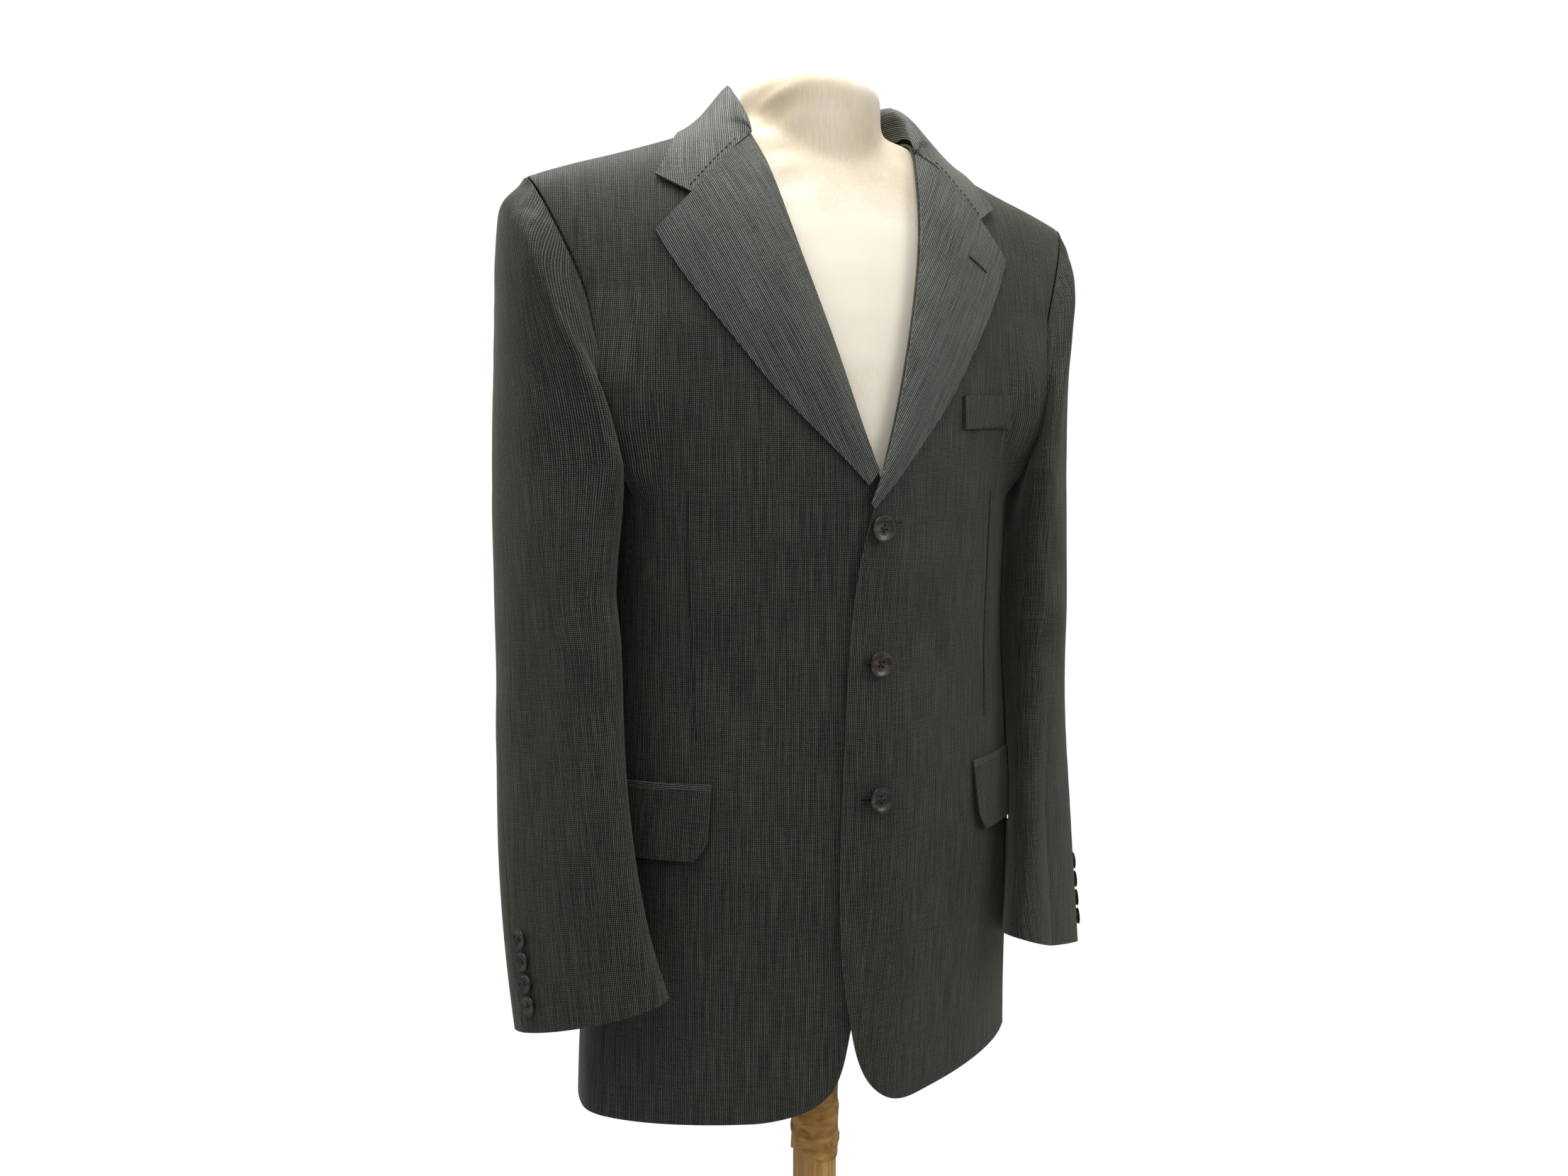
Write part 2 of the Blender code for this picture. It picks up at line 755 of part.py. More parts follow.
def collar_root(at):
    """Place where the collar is sewn on: round the neck to at 1, then down the gorge seam."""
    if at <= 1:
        over = over_at(0.0, NECK_BACK_Z) * math.cos(math.pi / 2 * at)
        return (neck_start(over) - SEAM if at > 0 else 0.0), over
    gorge = over_at(smooth(ROLL, "z", "x", GORGE_Z), GORGE_Z)
    over = -gorge * ease(1.0, COLLAR_LEAF[-1].at, at) ** 0.8
    return edge_at(ROLL, over), over


def gorge_place(share):
    """Width and angle over the shoulder of a place on the gorge seam, from the roll to the notch."""
    inner = Vector((smooth(ROLL, "z", "x", GORGE_Z), GORGE_Z))
    outer = Vector((LAPEL_EDGE[-1].x, LAPEL_EDGE[-1].z))
    place = inner.lerp(outer, NOTCH_ALONG * share) + Vector((0, GORGE_GAP))
    return place.x, -over_at(place.x, place.y)


def collar_section(at):
    """Points of the collar at one place: up the stand, over the fold and down the fall."""
    x, over = collar_root(at)
    root, normal = high_spot(x, over)
    away = Vector((root.x, root.y - NECK_Y, 0)).normalized()
    stand = smooth(COLLAR_LEAF, "at", "stand", at)
    base = root + Vector((0, 0, COLLAR_GAP)) + normal * (COLLAR_GAP + 2 * SEAM)
    tilt = Vector((0, 0, stand)) - away * COLLAR_LEAN * stand / COLLAR_LEAF[0].stand
    points = [base + tilt * share for share in STAND_SHARES]
    points.append(base + tilt + away * COLLAR_FOLD + Vector((0, 0, CLOTH * 0.75)))
    end_x = smooth(COLLAR_LEAF, "at", "x", at)
    end_over = math.radians(smooth(COLLAR_LEAF, "at", "over", at))
    meet = ease(COLLAR_LEAF[-2].at, COLLAR_LEAF[-1].at, at)
    for share in FALL_SHARES:
        place = (mix(x, end_x, share), mix(over, end_over, share))
        if share <= NOTCH_FALL_SHARE:
            gorge = gorge_place(share / NOTCH_FALL_SHARE)
            place = (mix(place[0], gorge[0], meet), mix(place[1], gorge[1], meet))
        point, up = high_spot(*place)
        clear = COLLAR_GAP + FOLDED_CLOTH + COLLAR_FOLD * 1.3 * (1 - share) ** 2
        points.append(point + up * clear + tilt * (1 - share) ** 1.9)
    return points


def collar():
    """Stand and fall of the collar in one folded wall round the neck."""
    last = COLLAR_LEAF[-1].at
    half = [collar_section(last * i / COLLAR_SAMPLES) for i in range(COLLAR_SAMPLES + 1)]
    flip = Vector((-1, 1, 1))
    rows = [[point * flip for point in row] for row in reversed(half[1:])] + half
    spots = []
    for r, row in enumerate(rows):
        line = []
        for c, point in enumerate(row):
            low, high = max(r - 1, 0), min(r + 1, len(rows) - 1)
            left, right = max(c - 1, 0), min(c + 1, len(row) - 1)
            along = rows[high][c] - rows[low][c]
            across = row[right] - row[left]
            line.append((point, along.cross(across).normalized()))
        spots.append(line)
    middle = spots[len(rows) // 2]
    if middle[-1][1].y < 0:
        spots = [[(point, -normal) for point, normal in row] for row in spots]
    return grid_wall("collar", evened(spots, False), FOLDED_CLOTH)


def flap(name, side):
    """Pocket flap over the front and the side body, rounded at its low corners."""
    spots = []
    for r in range(FLAP_ROWS + 1):
        drop = r / FLAP_ROWS
        cut = FLAP_CORNER * (1 - math.sqrt(1 - ease(0.75, 1.0, drop) ** 2)) * FLAP_SPAN
        z = FLAP_TOP_Z - FLAP_DROP * drop
        start = FLAP_STARTS[side] + cut * 0.5 + FLAP_SLANT * drop
        end = FLAP_STARTS[side] + FLAP_SPAN - cut * 0.5
        spots.append([low_spot(mix(start, end, c / FLAP_COLUMNS), z) for c in range(FLAP_COLUMNS + 1)])

    def stand_off(row_share, column_share):
        """The flap leans away from the front towards its low edge."""
        lean = FLAP_STAND_OFF * row_share * (1 - 0.6 * column_share)
        return CLOTH + FLAP_GAP + lean

    return grid_wall(name, mirrored(spots, side), CLOTH, stand_off)


def jet(name, side):
    """Narrow piping above the flap."""
    spots = []
    for r in range(3):
        z = FLAP_TOP_Z + SEAM + JET_HEIGHT * r / 2
        spots.append(
            [
                low_spot(FLAP_STARTS[side] + FLAP_SPAN * c / FLAP_COLUMNS, z)
                for c in range(FLAP_COLUMNS + 1)
            ]
        )
    return grid_wall(name, mirrored(spots, side), CLOTH, lambda row_share, column_share: CLOTH + FLAP_GAP)


def breast_welt():
    """Slanted welt of the breast pocket on the wearer's left."""
    spots = []
    for r in range(WELT_ROWS + 1):
        up = r / WELT_ROWS
        row = []
        for c in range(WELT_COLUMNS + 1):
            x = mix(WELT_INNER.x, WELT_OUTER.x, c / WELT_COLUMNS)
            z = mix(WELT_INNER.z, WELT_OUTER.z, c / WELT_COLUMNS) + WELT_HEIGHT * (up - 0.5)
            row.append(front_spot(x, z))
        spots.append(row)
    return grid_wall("breast_welt", spots, CLOTH, lambda row_share, column_share: CLOTH + FLAP_GAP)


def turned(name, profile, segments):
    """Closed turned piece about its own Z from (radius, height) pairs, bottom first."""
    mesh = bpy.data.meshes.new(name)
    shape = bmesh.new()
    corners = [shape.verts.new((radius, 0, height)) for radius, height in reversed(profile)]
    for a, b in zip(corners, corners[1:]):
        shape.edges.new((a, b))
    shape.to_mesh(mesh)
    shape.free()
    model = bpy.data.objects.new(name, mesh)
    bpy.data.collections[COLLECTION].objects.link(model)
    screw = model.modifiers.new("turn", "SCREW")
    screw.angle = 2 * math.pi
    screw.steps = segments
    screw.render_steps = segments
    screw.use_merge_vertices = True
    screw.merge_threshold = 1e-5
    screw.use_smooth_shade = True
    return model


def button_profile(diameter, thickness):
    """Outline of a dished button with a raised rim, from the back's middle round."""
    radius = diameter / 2
    return [(radius * corner.reach, thickness * corner.height) for corner in BUTTON_OUTLINE]


def place_button(model, point, normal):
    """Stand a button on the cloth with its face along the normal."""
    model.matrix_world = Matrix.Translation(point) @ normal.to_track_quat("Z", "Y").to_matrix().to_4x4()


def front_buttons():
    """Three buttons on the lap, with four holes each."""
    cutter = bpy.data.collections.new("cutters")
    bpy.context.scene.collection.children.link(cutter)
    for number, button in enumerate(BUTTONS, start=1):
        point, normal = front_spot(0.0, button.z)
        normal = Matrix.Rotation(BUTTON_TURN, 3, "Z") @ normal
        seat = point + normal * (lap_rise(point) + button.seat)
        model = turned(f"button_{number}", button_profile(BUTTON_DIAMETER, BUTTON_THICKNESS), 20)
        place_button(model, seat, normal)
        mesh = bpy.data.meshes.new(f"button_{number}_holes")
        shape = bmesh.new()
        for k in range(4):
            turn = math.pi / 4 + k * math.pi / 2
            reach = BUTTON_DIAMETER * BUTTON_HOLE_REACH
            spot = Matrix.Translation((reach * math.cos(turn), reach * math.sin(turn), 0))
            bmesh.ops.create_cone(
                shape,
                cap_ends=True,
                segments=8,
                radius1=BUTTON_DIAMETER * BUTTON_HOLE_RADIUS,
                radius2=BUTTON_DIAMETER * BUTTON_HOLE_RADIUS,
                depth=BUTTON_THICKNESS * 3,
                matrix=spot,
            )
        shape.to_mesh(mesh)
        shape.free()
        holes = bpy.data.objects.new(f"button_{number}_holes", mesh)
        holes.matrix_world = model.matrix_world
        holes.hide_render = True
        holes.display_type = "WIRE"
        cutter.objects.link(holes)
        cut = model.modifiers.new("holes", "BOOLEAN")
        cut.operation = "DIFFERENCE"
        cut.object = holes


def cuff_buttons(name, side, spots):
    """Row of small buttons up the hind seam of a sleeve."""
    column = HIND_SLEEVE_SEAM - 1
    line = [row[column] for row in spots]
    reach = 0.0
    lengths = [0.0]
    for (a, _), (b, _) in zip(reversed(line), list(reversed(line))[1:]):
        reach += (b - a).length
        lengths.append(reach)
    for number in range(CUFF_BUTTONS):
        target = CUFF_BUTTON_UP + number * CUFF_BUTTON_PITCH
        k = max(i for i, length in enumerate(lengths) if length <= target)
        share = (target - lengths[k]) / (lengths[k + 1] - lengths[k])
        (low, low_normal), (high, high_normal) = line[-1 - k], line[-2 - k]
        normal = low_normal.lerp(high_normal, share).normalized()
        point = low.lerp(high, share) + normal * 3 * SEAM
        model = turned(f"{name}_{number + 1}", button_profile(CUFF_BUTTON_DIAMETER, CUFF_BUTTON_THICKNESS), 12)
        place_button(model, point, normal)


def form_gap(over):
    """Room between the form and the cloth: none to speak of on the shoulders."""
    return mix(FORM_SEAT_GAP, FORM_GAP, ease(math.radians(3), math.radians(40), abs(over)))


def form_torso():
    """Limbless torso with a short neck, a little smaller than the jacket's inside."""
    rings = []
    turns = [math.pi * 2 * i / FORM_ROUND for i in range(FORM_ROUND)]
    for i in range(FORM_LOW_ROWS):
        z = mix(FORM_BOTTOM_Z, ARMPIT_Z, i / FORM_LOW_ROWS)
        ring = []
        for turn in turns:
            point, normal = low_spot(turn, z)
            ring.append(point - normal * (CLOTH + FORM_GAP))
        rings.append(ring)
    for over in [math.pi / 2] + over_rows(math.pi / 2, HIGH_ROWS):
        over = max(over, FORM_TOP_ANGLE)
        ring = []
        width = edge_at(ARMHOLE, -over) - FORM_SHOULDER_INSET
        for turn in turns:
            x = math.sin(turn) * width
            point, normal = high_spot(x, -over if math.cos(turn) >= 0 else over)
            ring.append(point - normal * (CLOTH + form_gap(over)))
        rings.append(ring)
    mesh = bpy.data.meshes.new("form_torso")
    count = len(turns)
    faces = [tuple(range(count - 1, -1, -1))]
    for r in range(len(rings) - 1):
        for i in range(count):
            a, b = r * count + i, r * count + (i + 1) % count
            faces.append((a, b, b + count, a + count))
    top = (len(rings) - 1) * count
    for i in range(count // 2):
        a, b = top + (count // 4 + i) % count, top + (count // 4 + i + 1) % count
        c, d = top + (count // 4 - i - 1) % count, top + (count // 4 - i) % count
        corners = [v for n, v in enumerate((a, b, c, d)) if v not in (a, b, c, d)[:n]]
        if len(corners) > 2:
            faces.append(tuple(corners))
    mesh.from_pydata([tuple(p) for ring in rings for p in ring], [], faces)
    torso = add_object("form_torso", mesh)
    neck = turned(
        "form_neck",
        (
            (0.0, NECK_LOW_Z),
            (NECK_RADIUS, NECK_LOW_Z),
            (NECK_RADIUS, NECK_TOP_Z - NECK_EDGE),
            (NECK_RADIUS - NECK_EDGE, NECK_TOP_Z),
            (0.0, NECK_TOP_Z),
        ),
        28,
    )
    neck.location = (0, NECK_Y, 0)
    bpy.context.view_layer.update()
    solid = bpy.data.meshes.new_from_object(neck.evaluated_get(bpy.context.evaluated_depsgraph_get()))
    cutter = bpy.data.objects.new("form_neck_join", solid)
    cutter.location = neck.location
    cutter.hide_render = True
    cutter.display_type = "WIRE"
    bpy.data.collections["cutters"].objects.link(cutter)
    bpy.data.objects.remove(neck)
    join = torso.modifiers.new("neck", "BOOLEAN")
    join.operation = "UNION"
    join.object = cutter
    return torso


def stand():
    """Pole, its paper wrap, and the round base with its socket."""
    bore = POLE_RADIUS + SEAM
    turned(
        "pole",
        (
            (0.0, BASE_THICKNESS * 0.5 + SEAM),
            (POLE_RADIUS, BASE_THICKNESS * 0.5 + SEAM),
            (POLE_RADIUS, FORM_BOTTOM_Z - SEAM),
            (0.0, FORM_BOTTOM_Z - SEAM),
        ),
        POLE_ROUND,
    )
    wrap = turned(
        "pole_wrap",
        (
            (bore, WRAP_LOW_Z),
            (bore + WRAP_THICKNESS, WRAP_LOW_Z),
            (bore + WRAP_THICKNESS, FORM_BOTTOM_Z - 2 * SEAM),
            (bore, FORM_BOTTOM_Z - 2 * SEAM),
            (bore, WRAP_LOW_Z),
        ),
        POLE_ROUND,
    )
    weld = wrap.modifiers.new("close", "WELD")
    weld.merge_threshold = 1e-5
    turned(
        "base",
        (
            (0.0, 0.0),
            (BASE_RADIUS - BASE_FOOT_EDGE, 0.0),
            (BASE_RADIUS, BASE_FOOT_EDGE),
            (BASE_RADIUS, BASE_THICKNESS - BASE_TOP_EDGE),
            (BASE_RADIUS - BASE_TOP_EDGE, BASE_THICKNESS),
            (SOCKET_RADIUS, BASE_THICKNESS),
            (SOCKET_RADIUS - SOCKET_TAPER, BASE_THICKNESS + SOCKET_HEIGHT),
            (bore, BASE_THICKNESS + SOCKET_HEIGHT),
            (bore, BASE_THICKNESS * 0.5),
            (0.0, BASE_THICKNESS * 0.5),
        ),
        40,
    )


def finish(prefixes, name, colour, roughness):
    """One Principled material for the objects whose names start with a prefix."""
    material = bpy.data.materials.new(name)
    material.use_nodes = True
    shader = material.node_tree.nodes["Principled BSDF"]
    shader.inputs["Base Color"].default_value = (*colour, 1.0)
    shader.inputs["Roughness"].default_value = roughness
    shader.inputs["Metallic"].default_value = 0.0
    for model in bpy.data.collections[COLLECTION].objects:
        if model.name.startswith(prefixes):
            own = material.copy()
            own.name = f"{name}_{model.name}"
            model.data.materials.clear()
            model.data.materials.append(own)
    bpy.data.materials.remove(material)


def main():
    """Build the jacket, its form and its stand."""
    for model in list(bpy.data.objects):
        bpy.data.objects.remove(model)
    bpy.context.scene.collection.children.link(bpy.data.collections.new(COLLECTION))
    for word, side in SIDES:
        front_panel(f"front_{word}", side)
        side_panel(f"side_{word}", side)
        back_panel(f"back_{word}", side)
        lapel(f"lapel_{word}", side)
        flap(f"flap_{word}", side)
        jet(f"jet_{word}", side)
        spots = sleeve_spots(side)
        sleeve_piece(f"top_sleeve_{word}", spots, FRONT_SLEEVE_SEAM, HIND_SLEEVE_SEAM)
        sleeve_piece(f"under_sleeve_{word}", spots, HIND_SLEEVE_SEAM, FRONT_SLEEVE_SEAM + SLEEVE_ROUND)
        cuff_buttons(f"cuff_button_{word}", side, spots)
    collar()
    breast_welt()
    front_buttons()
    form_torso()
    stand()
    cloth = ("front_", "side_", "back_", "lapel_", "flap_", "jet_", "top_", "under_", "collar", "breast_")
    finish(cloth, "charcoal_wool", (0.045, 0.046, 0.044), 0.85)
    finish(("button_", "cuff_"), "horn", (0.030, 0.018, 0.012), 0.35)
    finish(("form_",), "ivory_jersey", (0.80, 0.73, 0.60), 0.9)
    finish(("pole_wrap",), "kraft_paper", (0.42, 0.30, 0.17), 0.8)
    finish(("pole", "base"), "pale_wood", (0.55, 0.38, 0.20), 0.5)


if __name__ == "__main__":
    main()
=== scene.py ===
"""Charcoal single-breasted jacket, buttoned on an ivory dress form with a wooden pole."""

import logging
import math
from collections.abc import Callable, Iterator
from contextlib import contextmanager
from dataclasses import dataclass, field
from enum import Enum

import bmesh
import bpy
import numpy as np
from mathutils import Matrix, Vector
from mathutils.bvhtree import BVHTree
from mathutils.kdtree import KDTree


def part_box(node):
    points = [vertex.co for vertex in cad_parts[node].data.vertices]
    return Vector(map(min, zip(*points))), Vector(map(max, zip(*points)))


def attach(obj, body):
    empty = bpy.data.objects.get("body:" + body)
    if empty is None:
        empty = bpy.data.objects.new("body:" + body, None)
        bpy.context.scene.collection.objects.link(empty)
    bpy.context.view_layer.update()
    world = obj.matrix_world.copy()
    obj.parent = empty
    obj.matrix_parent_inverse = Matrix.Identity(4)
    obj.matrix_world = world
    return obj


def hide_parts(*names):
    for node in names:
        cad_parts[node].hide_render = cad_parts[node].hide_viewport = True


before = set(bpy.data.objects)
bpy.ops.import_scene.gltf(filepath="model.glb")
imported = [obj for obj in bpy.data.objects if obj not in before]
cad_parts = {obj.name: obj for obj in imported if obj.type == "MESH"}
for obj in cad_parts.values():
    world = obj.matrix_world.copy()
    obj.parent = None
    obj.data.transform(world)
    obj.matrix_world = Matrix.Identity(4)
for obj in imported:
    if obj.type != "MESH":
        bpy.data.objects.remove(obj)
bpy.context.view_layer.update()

LOG = logging.getLogger("jacket")

# The photograph's frame and the camera fitted to it.
PHOTO = (2212, 1659)
FOCAL_PX = 1799.54
CAMERA_PLACE = Vector((-0.45757597, -0.96056112, 1.17))
CAMERA_TURN = -0.44456 + 0.02474
CAMERA_TILT = 0.07476

# Heights and axes that the cloth's soft shapes are laid out from, in metres.
RIDGE_Y = 0.003
CHEST_Z = 1.29
SLEEVE_HEAD_Z = 1.30


class Side(Enum):
    """Side of the wearer."""

    LEFT = 1
    RIGHT = -1

    @property
    def word(self) -> str:
        """Word that the CAD names use."""
        return self.name.lower()


class Hold(Enum):
    """How a sheet of cloth is held."""

    HUNG = "hung"
    LAID = "laid"
    FOLDED = "folded"


def linear(colour: str) -> tuple[float, float, float, float]:
    """Turn an sRGB hex colour into linear light.

    Args:
        colour: six hex digits after a hash sign.

    Returns:
        Red, green, blue and a full alpha.
    """
    parts = [int(colour[i : i + 2], 16) / 255 for i in (1, 3, 5)]
    light = [p / 12.92 if p <= 0.04045 else ((p + 0.055) / 1.055) ** 2.4 for p in parts]
    return (*light, 1.0)


def feed(tree: bpy.types.NodeTree, node: bpy.types.Node, inputs: dict) -> None:
    """Set a node's inputs to values, or link other nodes' sockets to them."""
    for name, value in inputs.items():
        if isinstance(value, bpy.types.NodeSocket):
            tree.links.new(value, node.inputs[name])
        else:
            node.inputs[name].default_value = value


def add_node(tree: bpy.types.NodeTree, kind: str, inputs: dict | None = None, **settings) -> bpy.types.Node:
    """Add one shader node.

    Args:
        tree: node tree that gets it.
        kind: Blender's name of the node's type.
        inputs: values or sockets by the name or number of the input.
        settings: properties of the node; stops sets a colour ramp's (place, colour) pairs.

    Returns:
        The new node.
    """
    node = tree.nodes.new(kind)
    for place, (at, colour) in enumerate(settings.pop("stops", ())):
        stops = node.color_ramp.elements
        stop = stops[place] if place < 2 else stops.new(at)
        stop.position = at
        stop.color = linear(colour)
    for name, value in settings.items():
        setattr(node, name, value)
    feed(tree, node, inputs or {})
    return node


def add_math(tree: bpy.types.NodeTree, operation: str, *values) -> bpy.types.NodeSocket:
    """Result of a sum on numbers or sockets."""
    return add_node(tree, "ShaderNodeMath", dict(enumerate(values)), operation=operation).outputs[0]


def add_noise(
    tree: bpy.types.NodeTree,
    place: bpy.types.NodeSocket,
    size_mm: float | tuple[float, float, float],
    detail: float,
    bend: float = 0.0,
) -> bpy.types.NodeSocket:
    """Noise over a place in metres.

    Args:
        tree: node tree that gets it.
        place: socket of the place.
        size_mm: size of its forms, or their sizes along x, y and z.
        detail: how finely it is broken up.
        bend: how far it is distorted.

    Returns:
        Its values.
    """
    scale = 1.0
    if isinstance(size_mm, tuple):
        scales = tuple(1000 / size for size in size_mm)
        place = add_node(tree, "ShaderNodeMapping", {"Vector": place, "Scale": scales}).outputs[0]
    else:
        scale = 1000 / size_mm
    inputs = {"Vector": place, "Scale": scale, "Detail": detail, "Distortion": bend}
    return add_node(tree, "ShaderNodeTexNoise", inputs).outputs[0]


def finish_surface(
    tree: bpy.types.NodeTree, shader: bpy.types.Node, tone: tuple, relief: tuple, inputs: dict
) -> None:
    """Colour a surface along a ramp, raise its relief and set the rest of its shader.

    Args:
        tree: the material's nodes.
        shader: its surface shader.
        tone: socket that the colour follows, and the ramp's (place, colour) pairs.
        relief: socket that the height follows, its strength, and its depth in metres.
        inputs: the shader's other inputs.
    """
    colour = add_node(tree, "ShaderNodeValToRGB", {"Fac": tone[0]}, stops=tone[1])
    bump = add_node(tree, "ShaderNodeBump", dict(zip(("Height", "Strength", "Distance"), relief)))
    feed(tree, shader, {"Base Color": colour.outputs[0], "Normal": bump.outputs[0], **inputs})


def start_material(name: str) -> tuple[bpy.types.Material, bpy.types.NodeTree, bpy.types.Node]:
    """New material with nodes, its tree and its surface shader."""
    material = bpy.data.materials.new(name)
    material.use_nodes = True
    return material, material.node_tree, material.node_tree.nodes["Principled BSDF"]


def only(piece: bpy.types.Object) -> None:
    """Select one object alone and make it active."""
    bpy.ops.object.select_all(action="DESELECT")
    piece.select_set(True)
    bpy.context.view_layer.objects.active = piece


@contextmanager
def editing(piece: bpy.types.Object, select: str = "FACE") -> Iterator[bmesh.types.BMesh]:
    """Edit mode on one object, with nothing selected at the start.

    Args:
        piece: object that is edited.
        select: kind of element that is selected.

    Yields:
        The edit mesh.
    """
    only(piece)
    bpy.ops.object.mode_set(mode="EDIT")
    bpy.ops.mesh.select_mode(type=select)
    bpy.ops.mesh.select_all(action="DESELECT")
    shape = bmesh.from_edit_mesh(piece.data)
    for part in (shape.verts, shape.edges, shape.faces):
        part.ensure_lookup_table()
    try:
        yield shape
    finally:
        bpy.ops.object.mode_set(mode="OBJECT")


def pick_faces(piece: bpy.types.Object, shape: bmesh.types.BMesh, wanted: Callable) -> None:
    """Select in edit mode the faces for which a test holds."""
    for face in shape.faces:
        face.select_set(bool(wanted(face)))
    shape.select_flush_mode()
    bmesh.update_edit_mesh(piece.data)


def pick_edges(piece: bpy.types.Object, shape: bmesh.types.BMesh, wanted: Callable) -> None:
    """Select in edit mode the edges for which a test holds."""
    for edge in shape.edges:
        edge.select_set(bool(wanted(edge)))
    bmesh.update_edit_mesh(piece.data)


def apply(piece: bpy.types.Object, kind: str, **settings) -> None:
    """Add a modifier with its settings and apply it."""
    modifier = piece.modifiers.new(kind.lower(), kind)
    for name, value in settings.items():
        setattr(modifier, name, value)
    only(piece)
    bpy.ops.object.modifier_apply(modifier=modifier.name)


def settle(piece: bpy.types.Object) -> None:
    """Move an object's place, turn and scale into its mesh."""
    only(piece)
    bpy.ops.object.transform_apply(location=True, rotation=True, scale=True)


def smooth(piece: bpy.types.Object, degrees: float) -> None:
    """Shade a piece smooth, but keep the edges that turn by more than an angle."""
    only(piece)
    bpy.ops.object.shade_smooth_by_angle(angle=math.radians(degrees))


def join(pieces: list[bpy.types.Object], name: str) -> bpy.types.Object:
    """Join meshes into one named object."""
    only(pieces[0])
    for piece in pieces:
        piece.select_set(True)
    bpy.ops.object.join()
    whole = bpy.context.view_layer.objects.active
    whole.name = name
    whole.data.name = name
    return whole


def dress(piece: bpy.types.Object, material: bpy.types.Material, slot: str, *nodes: str) -> bpy.types.Object:
    """Give a piece its material and its place in the frame.

    Args:
        piece: finished object.
        material: its only material.
        slot: not used.
        nodes: CAD nodes that the piece stands for.

    Returns:
        The piece.
    """
    piece.data.materials.clear()
    piece.data.materials.append(material)
    if nodes:
        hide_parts(*nodes)
    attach(piece, "root")
    return piece


def points_of(piece: bpy.types.Object) -> np.ndarray:
    """Vertices of a mesh as rows of x, y and z."""
    places = np.empty(len(piece.data.vertices) * 3)
    piece.data.vertices.foreach_get("co", places)
    return places.reshape(-1, 3)


def put_points(piece: bpy.types.Object, places: np.ndarray) -> None:
    """Write vertices back to a mesh."""
    piece.data.vertices.foreach_set("co", places.ravel())
    piece.data.update()


def rim_of(piece: bpy.types.Object) -> np.ndarray:
    """How near each vertex is to the rim of its wall, from 0 to 1."""
    rim = np.empty(len(piece.data.vertices), dtype=np.float32)
    piece.data.attributes["rim"].data.foreach_get("value", rim)
    return rim


def is_level(edge: bmesh.types.BMEdge) -> bool:
    """Whether an edge that two faces share lies at one height."""
    return abs(edge.verts[0].co.z - edge.verts[1].co.z) < 1e-6 and len(edge.link_faces) == 2


def drum(name: str, radius: float, depth: float, middle: tuple, **more) -> bpy.types.Object:
    """Add an upright cylinder with its place moved into its mesh.

    Args:
        name: name of the object.
        radius: half its width.
        depth: its height.
        middle: place of its middle.
        more: other settings of the primitive.

    Returns:
        The cylinder.
    """
    bpy.ops.object.select_all(action="DESELECT")
    bpy.ops.mesh.primitive_cylinder_add(radius=radius, depth=depth, location=middle, **more)
    made = bpy.context.view_layer.objects.active
    made.name = name
    settle(made)
    return made


def add_object(name: str, data: bpy.types.ID) -> bpy.types.Object:
    """New object with its data, linked to the scene."""
    made = bpy.data.objects.new(name, data)
    bpy.context.scene.collection.objects.link(made)
    return made


def surface_tree(meshes: list[bpy.types.Mesh]) -> BVHTree:
    """Search tree over the faces of some meshes."""
    shape = bmesh.new()
    for mesh in meshes:
        shape.from_mesh(mesh)
    tree = BVHTree.FromBMesh(shape)
    shape.free()
    return tree


def spot_tree(spots: list) -> KDTree:
    """Search tree over some places."""
    tree = KDTree(len(spots))
    for i, spot in enumerate(spots):
        tree.insert(spot, i)
    tree.balance()
    return tree


def tube(name: str, points: list[Vector], radius: float, sides: int = 6) -> bpy.types.Object:
    """Thread or cord along a row of points, as a mesh.

    Args:
        name: name of the object.
        points: places along the middle of the thread.
        radius: half its thickness.
        sides: corners round it.

    Returns:
        The thread, with rounded ends.
    """
    line = bpy.data.curves.new(name, "CURVE")
    line.dimensions = "3D"
    line.bevel_depth = radius
    line.bevel_resolution = max(sides // 2 - 2, 0)
    line.use_fill_caps = True
    spline = line.splines.new("POLY")
    spline.points.add(len(points) - 1)
    for i, point in enumerate(points):
        spline.points[i].co = (*point, 1.0)
        spline.points[i].radius = 0.55 if i in (0, len(points) - 1) else 1.0
    thread = add_object(name, line)
    only(thread)
    bpy.ops.object.convert(target="MESH")
    bpy.ops.object.shade_smooth()
    return thread


# Noises of the wool: size in millimetres across, along and through it, detail, and share of the grain.
WOOL_NOISES = (
    ((1.1, 42.0, 1000.0), 3.0, 0.66),
    ((22.0, 1.6, 1000.0), 2.0, 0.18),
    (1.3, 1.0, 0.35),
    (70.0, 2.0, 0.12),
)


